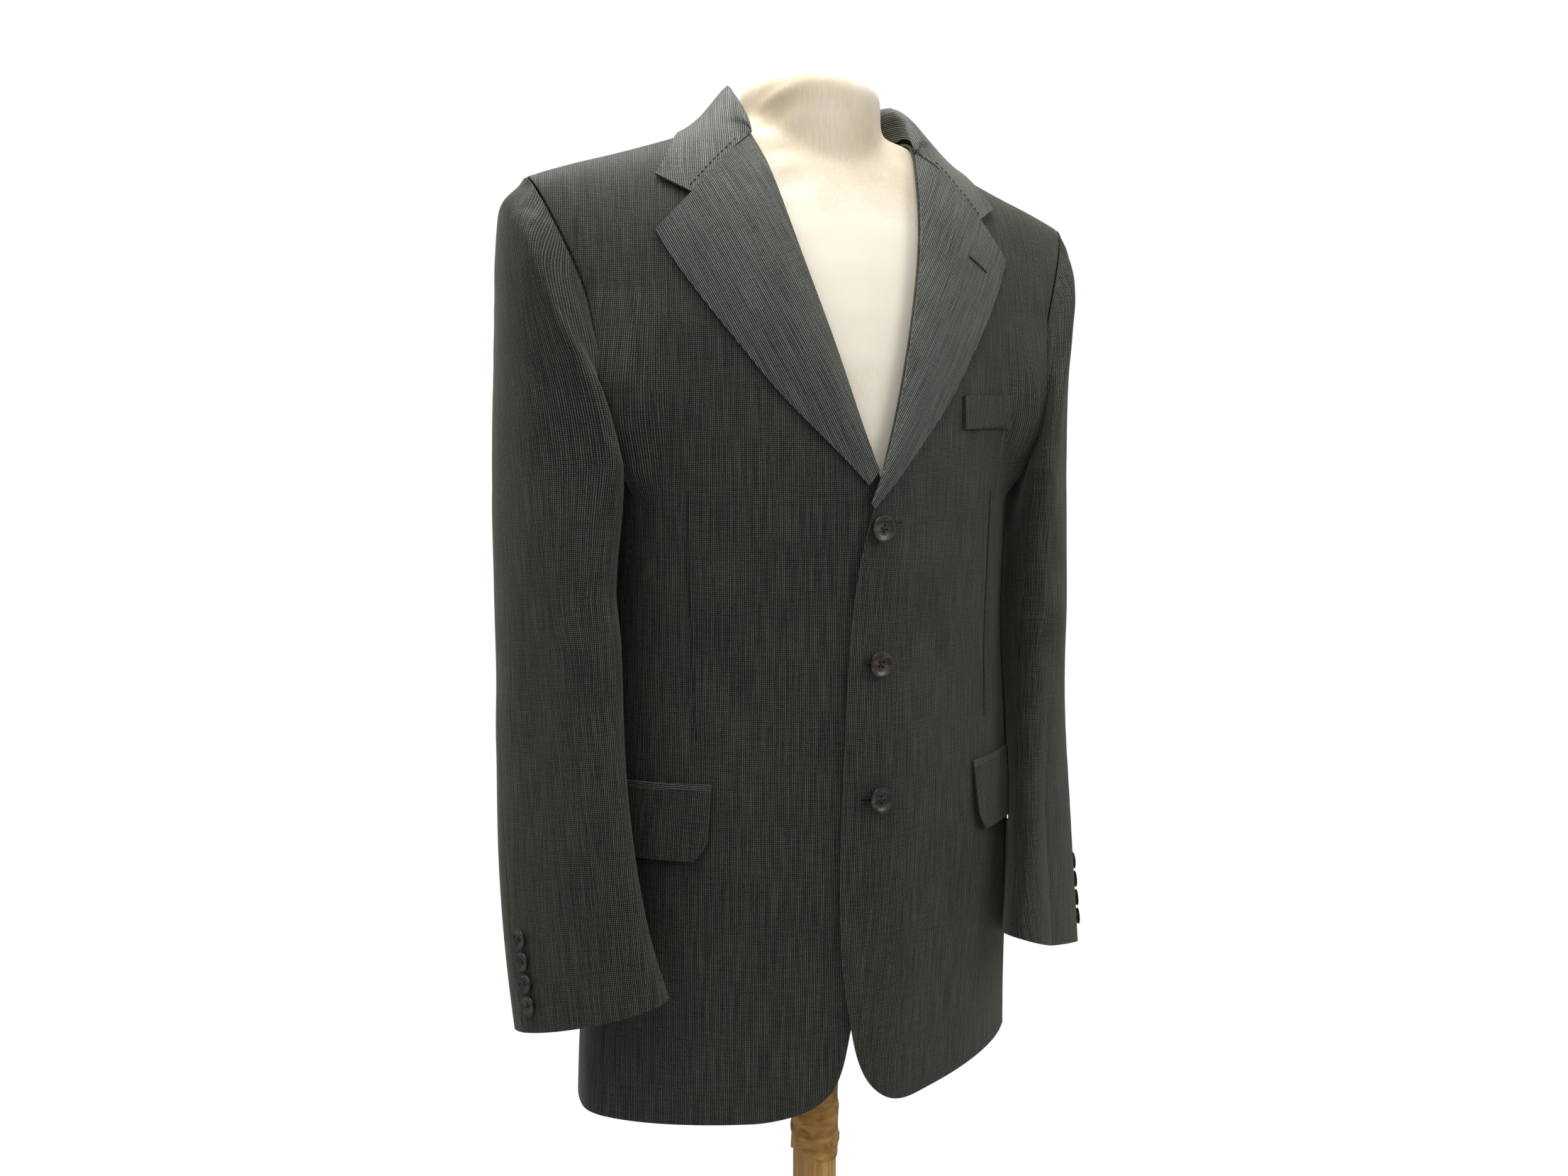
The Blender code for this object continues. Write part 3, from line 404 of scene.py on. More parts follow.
@dataclass(frozen=True)
class Wool:
    """Fine worsted suiting, woven in a nailhead of dark and grey yarns, pressed flat.

    The yarns give the eye a close grain of light dots in rows, uneven upright streaks where
    the yarn is thicker, and a faint sheen along the surface at grazing light.

    Attributes:
        name: name of the material.
        dark: colour of the dark yarn.
        mid: colour between the yarns.
        light: colour of the light yarn.
        cell_mm: spacing of the nailhead's dots.
        sheen: strength of the sheen at grazing light.
        lines: contrast of the warp's and the weft's lines.
    """

    name: str
    dark: str
    mid: str
    light: str
    cell_mm: float = 1.45
    sheen: float = 0.22
    lines: tuple[float, float] = (0.50, 0.24)

    def build(self) -> bpy.types.Material:
        """Make the material's nodes on the piece's own grain map, which is in metres."""
        material, tree, shader = start_material(self.name)
        grain = add_node(tree, "ShaderNodeUVMap", uv_map="grain").outputs[0]
        # Bands of the Wave texture repeat every 0.314 of its coordinate at scale 1.
        pitch = 0.314159 / (self.cell_mm / 1000)
        wobble = {"Vector": grain, "Distortion": 0.9, "Detail": 2.0, "Detail Scale": 0.7, "Scale": pitch}
        layers = [
            (add_node(tree, "ShaderNodeTexWave", wobble, bands_direction=way).outputs[0], share)
            for way, share in zip("XY", self.lines)
        ]
        layers += [(add_noise(tree, grain, size, detail), share) for size, detail, share in WOOL_NOISES]
        total = 0.5
        for layer, share in layers:
            total = add_math(tree, "MULTIPLY_ADD", add_math(tree, "SUBTRACT", layer, 0.5), share, total)
        stops = ((0.20, self.dark), (0.86, self.light), (0.50, self.mid))
        inputs = {
            "Roughness": 0.66,
            "Specular IOR Level": 0.25,
            "Sheen Weight": self.sheen,
            "Sheen Roughness": 0.45,
            "Sheen Tint": linear("#c3c4b0"),
        }
        finish_surface(tree, shader, (total, stops), (total, 0.35, 0.0006), inputs)
        return material


@dataclass(frozen=True)
class Jersey:
    """Ivory cotton jersey, stretched over padding: a matt pale knit with fine upright wales, and painted shade
    towards the neck.
    """

    name: str = "cotton_jersey_stretched"
    shade: str = "#d3c3a6"
    light: str = "#f1e8d5"
    neck_z: float = 1.46

    def build(self) -> bpy.types.Material:
        """Make the material's nodes on Object coordinates."""
        material, tree, shader = start_material(self.name)
        place = add_node(tree, "ShaderNodeTexCoord").outputs["Object"]
        knit = add_noise(tree, place, (1.4, 1.4, 12.0), 2.0)
        total = add_math(tree, "MULTIPLY_ADD", knit, 0.35, add_noise(tree, place, 60.0, 2.0))
        # Painted shade: the cover's colour darkens towards the top of the neck.
        up = add_node(tree, "ShaderNodeSeparateXYZ", {0: place}).outputs["Z"]
        painted_neck_shade = {"Value": up, 1: self.neck_z - 0.11, 2: self.neck_z, 3: 0.0, 4: 0.50}
        painted_neck_shade = add_node(tree, "ShaderNodeMapRange", painted_neck_shade, interpolation_type="SMOOTHSTEP").outputs[0]
        tone = add_math(tree, "SUBTRACT", total, painted_neck_shade), ((0.05, self.shade), (0.62, self.light))
        inputs = {"Roughness": 0.85, "Specular IOR Level": 0.2, "Sheen Weight": 0.15}
        finish_surface(tree, shader, tone, (knit, 0.12, 0.0005), inputs)
        return material


@dataclass(frozen=True)
class Streaked:
    """Material with a grain that is drawn out one way: polished horn, planed wood, kraft paper.

    Attributes:
        name: name of the material.
        colours: dark, middle and light colour.
        grain_mm: size of the grain along x, y and z.
        roughness: how matt the surface is.
        relief_mm: depth of the grain.
        coat: share of a clear polish.
    """

    name: str
    colours: tuple[str, str, str]
    grain_mm: tuple[float, float, float]
    roughness: float
    relief_mm: float
    coat: float = 0.0

    def build(self) -> bpy.types.Material:
        """Make the material's nodes on Object coordinates."""
        material, tree, shader = start_material(self.name)
        place = add_node(tree, "ShaderNodeTexCoord").outputs["Object"]
        grain = add_noise(tree, place, self.grain_mm, 5.0, 0.6)
        dark, middle, light = self.colours
        tone = grain, ((0.30, dark), (0.74, light), (0.50, middle))
        inputs = {"Roughness": self.roughness, "Coat Weight": self.coat, "Coat Roughness": 0.2}
        finish_surface(tree, shader, tone, (grain, 0.5, self.relief_mm / 1000), inputs)
        return material


def made_of(stuff: Wool | Jersey | Streaked) -> bpy.types.Material:
    """Field of the finishes whose material is built from a description."""
    return field(default_factory=stuff.build)


@dataclass
class Finishes:
    """Every material of the object, made once."""

    wool: bpy.types.Material = made_of(Wool("worsted_nailhead", "#050604", "#15160f", "#5c5e52"))
    # The turned-back facing is the same cloth with a little more shader sheen; its lighter yarn colours are
    # painted sheen, where the lapels and collar catch more light.
    revers: bpy.types.Material = made_of(
        Wool("worsted_nailhead_pressed", "#0b0c0a", "#2c2e28", "#80837b", sheen=0.30, lines=(0.62, 0.16))
    )
    # The jets are the same cloth cut crosswise, so its ribs run up and down; their lighter yarn colours are a
    # painted highlight where the jets catch light.
    jet: bpy.types.Material = made_of(
        Wool("worsted_nailhead_crosswise", "#0a0b0b", "#292c2b", "#666a68", lines=(0.2, 0.7))
    )
    # Polyester sewing thread, twisted: dark, with a slight gloss. It is darkened further because the dart
    # lines and buttonhole slits drawn in it are painted shade.
    thread: bpy.types.Material = made_of(
        Streaked("polyester_thread_twisted", ("#050505", "#0a0a09", "#131311"), (0.6, 0.6, 0.6), 0.55, 0.1)
    )
    # Buffalo horn, turned and polished: dark brown with drawn-out lighter clouds.
    horn: bpy.types.Material = made_of(
        Streaked("buffalo_horn_polished", ("#120f0a", "#272118", "#55482f"), (9.0, 5.0, 3.0), 0.34, 0.05, 0.22)
    )
    jersey: bpy.types.Material = made_of(Jersey())
    # Beech, turned and waxed: pale yellow-brown with fine lengthwise flecks.
    wood: bpy.types.Material = made_of(
        Streaked("beech_turned_waxed", ("#9a6c34", "#bb8a48", "#d6aa68"), (2.2, 2.2, 45.0), 0.5, 0.15, 0.1)
    )
    # Kraft paper, crumpled and smoothed by hand: brown, with blunt creases.
    paper: bpy.types.Material = made_of(
        Streaked("kraft_paper_crumpled", ("#8a6230", "#b0823f", "#d0a35e"), (16.0, 16.0, 7.0), 0.8, 1.2)
    )


@dataclass(frozen=True)
class Crease:
    """One soft trough (negative depth) or ridge, laid between two places in millimetres."""

    start: tuple[float, float, float]
    end: tuple[float, float, float]
    width: float
    depth: float


def creases_from(*rows: tuple) -> tuple[Crease, ...]:
    """Creases from rows of start, end, width and depth."""
    return tuple(Crease(row[:3], row[3:6], *row[6:]) for row in rows)


BODY_CREASES = creases_from(
    # Right front: a long shallow drag from the chest to the first button, and one under the arm.
    (-150, -90, 1190, -40, -125, 1130, 26, -1.3),
    (-160, -70, 1120, -60, -120, 1080, 30, 1.1),
    (-130, -95, 1010, -40, -125, 1035, 24, -1.0),
    (-95, -110, 900, -85, -112, 735, 30, 1.6),
    (-35, -125, 905, -48, -125, 730, 24, -1.2),
    # Left front: mirrored in kind but not in place.
    (155, -85, 1170, 45, -125, 1125, 28, -1.2),
    (140, -90, 1060, 40, -125, 1030, 30, -1.0),
    (75, -118, 905, 88, -114, 725, 30, -1.4),
    (128, -90, 900, 135, -80, 740, 26, 1.5),
    # Upper chest beside the armholes, where the cloth falls from the shoulder.
    (-170, -62, 1350, -158, -82, 1220, 20, -1.3),
    (170, -62, 1345, 160, -80, 1215, 20, -1.4),
    (-132, -70, 1380, -120, -100, 1250, 30, 1.0),
    (132, -70, 1375, 124, -98, 1245, 28, 1.0),
    # Back: drags at the waist and long soft falls in the skirt.
    (-120, 108, 1120, -15, 125, 1085, 24, -1.7),
    (118, 108, 1110, 20, 125, 1075, 26, -1.6),
    (-90, 120, 1045, 70, 122, 1030, 20, 1.3),
    (-70, 122, 950, -78, 128, 720, 28, 1.9),
    (62, 122, 960, 74, 128, 720, 30, 1.8),
    (-20, 130, 900, -26, 134, 710, 20, -1.3),
    (132, 90, 940, 142, 92, 715, 24, -1.5),
    (-132, 90, 930, -140, 92, 715, 24, -1.4),
    (-150, 80, 1300, -120, 112, 1200, 24, -1.5),
    (150, 80, 1295, 118, 112, 1195, 24, -1.4),
    (-70, 100, 1370, 70, 102, 1366, 26, 1.0),
)

# Sleeves, on the left arm; the right arm has them mirrored and moved down a little.
SLEEVE_CREASES = creases_from(
    (268, -40, 1330, 262, -56, 1190, 20, -1.5),
    (262, 30, 1300, 268, 40, 1150, 22, 1.3),
    (205, -62, 1120, 262, -48, 1062, 15, -2.0),
    (200, -64, 1086, 258, -56, 1020, 14, 1.6),
    (192, -66, 1040, 250, -70, 1000, 13, -1.9),
    (196, 46, 1090, 262, 40, 1030, 17, -1.6),
    (200, 40, 1050, 258, 36, 990, 15, 1.3),
    (262, -20, 980, 246, -58, 870, 20, 1.3),
    (198, -84, 930, 236, -98, 850, 18, -1.3),
    (250, 0, 900, 240, -20, 810, 16, -1.1),
)

# Middle of the left sleeve at falling heights: z, x and y.
SLEEVE_AXIS = (
    (0.7785, 0.8265, 0.894, 0.967, 1.0385, 1.101, 1.155, 1.1985, 1.2355, 1.268, 1.29),
    (0.2100, 0.2170, 0.2215, 0.2215, 0.2201, 0.2200, 0.2202, 0.2204, 0.2207, 0.2205, 0.2173),
    (-0.046, -0.034, -0.020, -0.007, 0.001, 0.004, 0.006, 0.007, 0.008, 0.010, 0.012),
)

# Fullness of the sleeve heads by height, in metres. The right shoulder stands out more in the photo.
HEAD_HEIGHTS = (1.05, 1.15, 1.25, 1.32, 1.37, 1.40, 1.425)
HEAD_FULLNESS = {
    Side.RIGHT: (0.0, 0.003, 0.005, 0.008, 0.011, 0.013, 0.012),
    Side.LEFT: (0.0, 0.0, 0.0, 0.0, 0.003, 0.006, 0.007),
}
# Heights, and the share by which the sleeve leans on the chest and the front covers the armhole.
CHEST_LEAN = ((1.09, 1.15, 1.19, 1.27, 1.31, 1.34), (0, 0.5, 1, 1, 0.5, 0))
ARMHOLE_COVER = ((1.165, 1.185, 1.215, 1.25, 1.285, 1.32), (0, 1, 1, 0.8, 0.4, 0))
# Heights, and how far the left sleeve's inner side hangs in to the body, in metres.
FAR_SLEEVE_LEAN = ((0.76, 0.90, 1.02, 1.10, 1.18), (0.022, 0.022, 0.013, 0.009, 0))
# Moves at a full share, sideways and forward in metres, and the gap that a sleeve keeps.
CHEST_MOVE = (0.013, 0.004)
COVER_MOVE = (0.013, 0.006)
HEAD_DROP = 0.003
SLEEVE_CLEAR = 0.0035
# The right sleeve's creases sit this much lower than the left one's.
RIGHT_CREASE_DROP = 0.018


def rise(values: np.ndarray, start: float, width: float) -> np.ndarray:
    """Ramp from 0 at a start to 1 one width further on."""
    return np.clip((values - start) / width, 0, 1)


def fall(values: np.ndarray, end: float, width: float) -> np.ndarray:
    """Ramp from 1 one width before an end to 0 at it."""
    return np.clip((end - values) / width, 0, 1)


def away_from(places: np.ndarray, x: np.ndarray, y: np.ndarray, z: np.ndarray) -> np.ndarray:
    """Directions that point from a place inside to each vertex. x and y may be numbers."""
    away = places - np.stack(np.broadcast_arrays(x, y, z), axis=1)
    return away / np.linalg.norm(away, axis=1, keepdims=True)


def away_from_body(places: np.ndarray) -> np.ndarray:
    """Directions that point out of the jacket's body."""
    return away_from(places, places[:, 0] * 0.4, RIDGE_Y, np.minimum(places[:, 2], CHEST_Z))


def away_from_arm(places: np.ndarray) -> np.ndarray:
    """Directions that point out of the sleeve."""
    up, side = places[:, 2], np.sign(places[:, 0].mean())
    middle_x, middle_y = (np.interp(up, SLEEVE_AXIS[0], line) for line in SLEEVE_AXIS[1:])
    return away_from(places, middle_x * side, middle_y, np.minimum(up, SLEEVE_HEAD_Z))


def crease_depth(places: np.ndarray, creases: tuple[Crease, ...]) -> np.ndarray:
    """How far soft creases move each place, in metres."""
    total = np.zeros(len(places))
    for crease in creases:
        start = np.array(crease.start) / 1000
        run = np.array(crease.end) / 1000 - start
        share = np.clip((places - start) @ run / (run @ run), -0.12, 1.12)
        gap = np.linalg.norm(places - (start + share[:, None] * run), axis=1)
        # A crease wanders and dies out at both ends.
        taper = np.clip(np.sin(np.pi * (share + 0.12) / 1.24), 0, 1) ** 0.8
        total += crease.depth / 1000 * taper * np.exp(-((gap * 1000 / crease.width) ** 2))
    return total


def armhole_cloth(side: Side) -> BVHTree:
    """Search tree over the CAD panels and pocket that a sleeve is sewn to or hangs against."""
    parts = ("front", "side", "back", "flap", "jet")
    return surface_tree([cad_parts[f"{part}_{side.word}"].data for part in parts])


@dataclass
class ClothPiece:
    """One cut piece of cloth, made smooth and soft from its CAD wall.

    Attributes:
        node: CAD node that the piece stands for.
        along: direction in space that the warp runs in.
        hold: how the piece is held; not used.
        rests_on: what it hangs from or lies on; not used.
        bend: angle over which an edge counts as the rim of the wall, in degrees.
        levels: times that the surface is divided.
        press_mm: depth of the pressed dip beside a sewn edge.
        free: test for places on an edge that isn't sewn.
        flat: width and length of the flat cut in metres, measured when the piece is built.
        area: area of the flat cut in square metres, measured with it.
    """

    node: str
    along: tuple[float, float, float] = (0.0, 0.0, 1.0)
    hold: Hold = Hold.HUNG
    rests_on: tuple[str, ...] = ("form",)
    bend: float = 45.0
    levels: int = 3
    press_mm: float = 0.0
    free: Callable[[np.ndarray], np.ndarray] | None = None
    flat: tuple[float, float] = (0.0, 0.0)
    area: float = 0.0

    def build(self, material: bpy.types.Material, arm: bool = False) -> bpy.types.Object:
        """Make the piece.

        Args:
            material: cloth that it is cut from.
            arm: whether it is part of a sleeve.

        Returns:
            The finished object.
        """
        piece = add_object(f"cloth_{self.node}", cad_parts[self.node].data.copy())
        self.ready_cage(piece)
        self.lay_grain(piece)
        apply(piece, "SUBSURF", levels=self.levels, render_levels=self.levels)
        self.soften(piece, arm)
        smooth(piece, 50)
        dress(piece, material, "wool", self.node)
        return piece

    def ready_cage(self, piece: bpy.types.Object) -> None:
        """Merge the wall's loose triangles into quads, and mark its rim as seam and crease."""
        with editing(piece, "EDGE") as shape:
            bpy.ops.mesh.select_all(action="SELECT")
            bpy.ops.mesh.remove_doubles(threshold=2e-5)
            bpy.ops.mesh.customdata_custom_splitnormals_clear()
            fold, skew = math.radians(70), math.radians(120)
            bpy.ops.mesh.tris_convert_to_quads(face_threshold=fold, shape_threshold=skew)
            bpy.ops.mesh.select_all(action="DESELECT")
            bpy.ops.mesh.edges_select_sharp(sharpness=math.radians(self.bend))
            bpy.ops.transform.edge_crease(value=1.0)
            bpy.ops.mesh.mark_seam(clear=False)
            bpy.ops.mesh.select_all(action="SELECT")
            bpy.ops.uv.unwrap(method="ANGLE_BASED", margin=0.01)
        piece.data.uv_layers[0].name = "grain"
        rim = piece.data.attributes.new("rim", "FLOAT", "POINT")
        on_rim = np.zeros(len(piece.data.vertices), dtype=np.float32)
        for edge in piece.data.edges:
            if edge.use_seam:
                on_rim[list(edge.vertices)] = 1.0
        rim.data.foreach_set("value", on_rim)

    def lay_grain(self, piece: bpy.types.Object) -> None:
        """Scale the grain map to metres, turn its rows along the warp, and measure the flat cut."""
        shape = bmesh.new()
        shape.from_mesh(piece.data)
        grain = shape.loops.layers.uv["grain"]
        waiting = set(shape.faces)
        along = Vector(self.along).normalized()
        largest = 0.0
        while waiting:
            island, fresh = [], [waiting.pop()]
            while fresh:
                face = fresh.pop()
                island.append(face)
                for edge in face.edges:
                    for other in () if edge.seam else edge.link_faces:
                        if other in waiting:
                            waiting.discard(other)
                            fresh.append(other)
            room = sum(face.calc_area() for face in island)
            lean = Vector((0.0, 0.0))
            flat_room = 1e-12
            for face in island:
                corners = [loop[grain].uv.copy() for loop in face.loops]
                flat_room += abs(sum(a.cross(b) for a, b in zip(corners, corners[1:] + corners[:1]))) / 2
                for loop in face.loops:
                    step = loop.link_loop_next[grain].uv - loop[grain].uv
                    lean += step * (loop.link_loop_next.vert.co - loop.vert.co).dot(along)
            turn = Matrix.Rotation(math.atan2(lean.x, lean.y), 2) * math.sqrt(room / flat_room)
            loops = [loop for face in island for loop in face.loops]
            for loop in loops:
                loop[grain].uv = turn @ loop[grain].uv
            if room > largest:
                largest = room
                across = [loop[grain].uv.x for loop in loops]
                length = [loop[grain].uv.y for loop in loops]
                self.flat = (
                    max(round(max(across) - min(across), 3), 0.010),
                    max(round(max(length) - min(length), 3), 0.010),
                )
                self.area = round(min(room, self.flat[0] * self.flat[1] * 0.99), 5)
        shape.to_mesh(piece.data)
        shape.free()

    def hang(self, places: np.ndarray, arm: bool) -> np.ndarray:
        """How the cloth hangs about the armhole: full sleeve heads, and sleeves against the body.

        Args:
            places: vertices of the piece.
            arm: whether the piece is part of a sleeve.

        Returns:
            A move for each vertex.
        """
        move = np.zeros_like(places)
        side = np.sign(places[:, 0].mean())
        out, deep, up = places[:, 0] * side, places[:, 1], places[:, 2]
        if arm:
            body = armhole_cloth(Side(int(side)))
            gap = np.array([body.find_nearest(Vector(place))[3] for place in places])
            # Nothing moves at the armhole seam itself.
            inner = rise(gap, 0.0006, 0.020)
            inner *= inner * (3 - 2 * inner)
            full = HEAD_FULLNESS[Side(int(side))]
            outer = rise(out, 0.205, 0.022) * inner
            move[:, 0] = np.interp(up, HEAD_HEIGHTS, full) * outer * side
            move[:, 2] = -HEAD_DROP * rise(up, 1.40, 0.02) * inner
            chest = np.interp(up, *CHEST_LEAN)
            chest *= rise(-deep, 0.01, 0.03) * fall(out, 0.24, 0.03) * inner
            inward = CHEST_MOVE[0] * chest
            move[:, 1] -= CHEST_MOVE[1] * chest
            if side > 0:
                inward += np.interp(up, *FAR_SLEEVE_LEAN) * fall(out, 0.235, 0.03)
            # The sleeve comes to rest a little off the body and its flap.
            for i in np.flatnonzero(inward > 0):
                reach = inward[i] + SLEEVE_CLEAR
                room = body.ray_cast(Vector(places[i]), Vector((-side, 0, 0)), reach)[3]
                if room is not None:
                    inward[i] = min(inward[i], max(room - SLEEVE_CLEAR, 0))
            move[:, 0] -= inward * side
        elif "front" in self.node:
            cover = np.interp(up, *ARMHOLE_COVER)
            cover *= rise(out, 0.150, 0.022) * (deep < 0)
            move[:, 0] = COVER_MOVE[0] * cover * side
            move[:, 1] = -COVER_MOVE[1] * cover
        elif "back" in self.node:
            move[:, 0] = -0.0003 * fall(out, 0.004, 0.004) * side
        return move

    def soften(self, piece: bpy.types.Object, arm: bool) -> None:
        """Lay the soft creases and press the sewn edges down."""
        places = points_of(piece)
        away = away_from_arm(places) if arm else away_from_body(places)
        if arm:
            mirrored = places * np.array((np.sign(places[:, 0].mean()), 1, 1))
            drop = 0.0 if places[:, 0].mean() > 0 else RIGHT_CREASE_DROP
            move = crease_depth(mirrored + np.array((0, 0, drop)), SLEEVE_CREASES)
            move *= fall(places[:, 2], 1.36, 0.08)
        else:
            move = crease_depth(places, BODY_CREASES)
        if self.press_mm:
            dip = rise(rim_of(piece), 0.62, 0.38) ** 2
            if self.free:
                dip *= 1 - self.free(places)
            move -= dip * self.press_mm / 1000
        put_points(piece, places + away * move[:, None] + self.hang(places, arm))


def close_gorge(collar: bpy.types.Object, lapels: list[bpy.types.Object], reach: float = 0.026) -> None:
    """Draw the collar's ends onto the lapels, so that the gorge seam closes up to the roll.

    Args:
        collar: finished collar.
        lapels: finished lapels.
        reach: how far into the collar the pull dies out, in metres.
    """
    cloth = surface_tree([lapel.data for lapel in lapels])
    places = points_of(collar)
    spots, pulls = [], []
    for place in places[rim_of(collar) > 0.9]:
        target, _, _, gap = cloth.find_nearest(Vector(place), 0.007)
        if target is not None:
            spots.append(place)
            pulls.append((np.array(target) - place) * max(gap - 0.0002, 0) / max(gap, 1e-6))
    tree = spot_tree(spots)
    pulls = np.array(pulls)
    for i, place in enumerate(places):
        near = tree.find_n(place, 12)
        share = max(1 - near[0][2] / reach, 0) ** 1.5
        if share:
            places[i] = place + pulls[[index for _, index, _ in near]].mean(axis=0) * share
    put_points(collar, places)


def hem_and_front(places: np.ndarray) -> np.ndarray:
    """How far places belong to the hem or the free front edge, from 0 to 1."""
    edge = fall(np.abs(places[:, 0]), 0.07, 0.02) * (places[:, 1] < 0)
    return np.maximum(fall(places[:, 2], 0.73, 0.02), edge)


def cuff_edge(places: np.ndarray) -> np.ndarray:
    """How far places belong to the cuff, from 0 to 1."""
    return fall(places[:, 2], 0.81, 0.02)


@dataclass
class Panels:
    """Panels that are cut in pairs: of the body, or of the sleeves.

    Attributes:
        parts: their names, and the times that each surface is divided.
        press_mm: depth of the pressed dip beside a sewn edge.
        free: test for places on an edge that isn't sewn.
        arm: whether they are a sleeve's, which hangs from the front and back.
    """

    parts: dict[str, int]
    press_mm: float
    free: Callable[[np.ndarray], np.ndarray]
    arm: bool = False

    def build(self, finishes: Finishes) -> dict[str, ClothPiece]:
        """Make the panels of both sides."""
        made = {}
        for side in Side:
            rests = (f"cloth_front_{side.word}", f"cloth_back_{side.word}") if self.arm else ("form",)
            for part, levels in self.parts.items():
                node = f"{part}_{side.word}"
                made[node] = ClothPiece(
                    node, rests_on=rests, press_mm=self.press_mm, levels=levels, free=self.free
                )
                made[node].build(finishes.wool, self.arm)
        return made


@dataclass
class Revers:
    """Collar and notched lapels, folded back on the fronts."""

    lapel_run: tuple[float, float, float] = (0.42, 0.0, 0.9)

    def build(self, finishes: Finishes) -> dict[str, ClothPiece]:
        """Make the collar and both lapels."""
        pieces = [
            ClothPiece(
                "collar",
                along=(1, 0, 0),
                hold=Hold.FOLDED,
                bend=78.0,
                rests_on=("cloth_back_left", "cloth_back_right", "cloth_front_left", "cloth_front_right"),
            )
        ]
        for side in Side:
            across, deep, up = self.lapel_run
            pieces.append(
                ClothPiece(
                    f"lapel_{side.word}",
                    along=(across * side.value, deep, up),
                    hold=Hold.FOLDED,
                    rests_on=(f"cloth_front_{side.word}",),
                )
            )
        collar, *lapels = [piece.build(finishes.revers) for piece in pieces]
        close_gorge(collar, lapels)
        return {piece.node: piece for piece in pieces}


@dataclass
class Pockets:
    """Hip flaps with their jets, and the breast welt."""

    def build(self, finishes: Finishes) -> dict[str, ClothPiece]:
        """Make the cloth of the three pockets."""
        pieces = [ClothPiece("breast_welt", hold=Hold.LAID, rests_on=("cloth_front_left",))]
        for side in Side:
            under = (f"cloth_front_{side.word}", f"cloth_side_{side.word}")
            pieces.append(ClothPiece(f"flap_{side.word}", hold=Hold.LAID, rests_on=under))
            pieces.append(ClothPiece(f"jet_{side.word}", hold=Hold.LAID, rests_on=under, levels=2))
        for piece in pieces:
            piece.build(finishes.jet if piece.node.startswith("jet") else finishes.wool)
        return {piece.node: piece for piece in pieces}


@dataclass
class Button:
    """Turned horn button with a raised rim, a dished middle and four holes.

    Attributes:
        diameter: width over the rim.
        thickness: height at the rim.
    """

    diameter: float
    thickness: float

    def model(self) -> bpy.types.Object:
        """Model one button about the origin, its back at z 0 and its face upward."""
        radius = self.diameter / 2

        def on_rim(edge: bmesh.types.BMEdge) -> bool:
            """Whether an edge runs round the top of the rim."""
            a, b = (vert.co for vert in edge.verts)
            high = min(a.z, b.z) > self.thickness * 0.99
            near, far = sorted((a.xy.length, b.xy.length))
            return high and near > radius * 0.76 and far - near < radius * 0.01

        button = drum("button", radius * 0.80, self.thickness, (0, 0, self.thickness / 2), vertices=40)
        with editing(button) as shape:
            pick_faces(button, shape, lambda face: face.normal.z > 0.9)
            # The side flares up and out to the rim.
            bpy.ops.transform.resize(value=(1.25, 1.25, 1))
            bpy.ops.mesh.inset(thickness=radius * 0.20)
            bpy.ops.mesh.inset(thickness=radius * 0.10)
            bpy.ops.transform.translate(value=(0, 0, -self.thickness * 0.20))
            bpy.ops.mesh.inset(thickness=radius * 0.22)
            bpy.ops.transform.translate(value=(0, 0, -self.thickness * 0.10))
        with editing(button, "EDGE") as shape:
            pick_edges(button, shape, on_rim)
            bpy.ops.mesh.bevel(offset=self.thickness * 0.16, segments=3, profile=0.6)
        for k in range(4):
            turn = math.pi / 4 + k * math.pi / 2
            spot = (radius * 0.23 * math.cos(turn), radius * 0.23 * math.sin(turn), self.thickness / 2)
            drill = drum("drill", radius * 0.095, self.thickness * 3, spot, vertices=16)
            apply(button, "BOOLEAN", operation="DIFFERENCE", object=drill, solver="EXACT")
            bpy.data.objects.remove(drill)
        smooth(button, 35)
        return button

    def stitches(self) -> bpy.types.Object:
        """Model the crossed thread through the four holes, about the origin."""
        reach = self.diameter / 2 * 0.23
        top = self.thickness * 0.74
        bars = []
        for turn in (math.pi / 4, 3 * math.pi / 4):
            for shift in (-0.4, 0.4):
                run = Vector((math.cos(turn), math.sin(turn), 0))
                aside = Vector((-run.y, run.x, 0)) * shift * self.diameter * 0.030
                line = [(-1.0, -0.9), (-0.8, 0.0), (0.0, 0.35), (0.8, 0.0), (1.0, -0.9)]
                points = [run * reach * s + aside + Vector((0, 0, top + up * 0.0008)) for s, up in line]
                bars.append(tube("thread_bar", points, self.diameter * 0.014))
        return join(bars, "thread_cross")


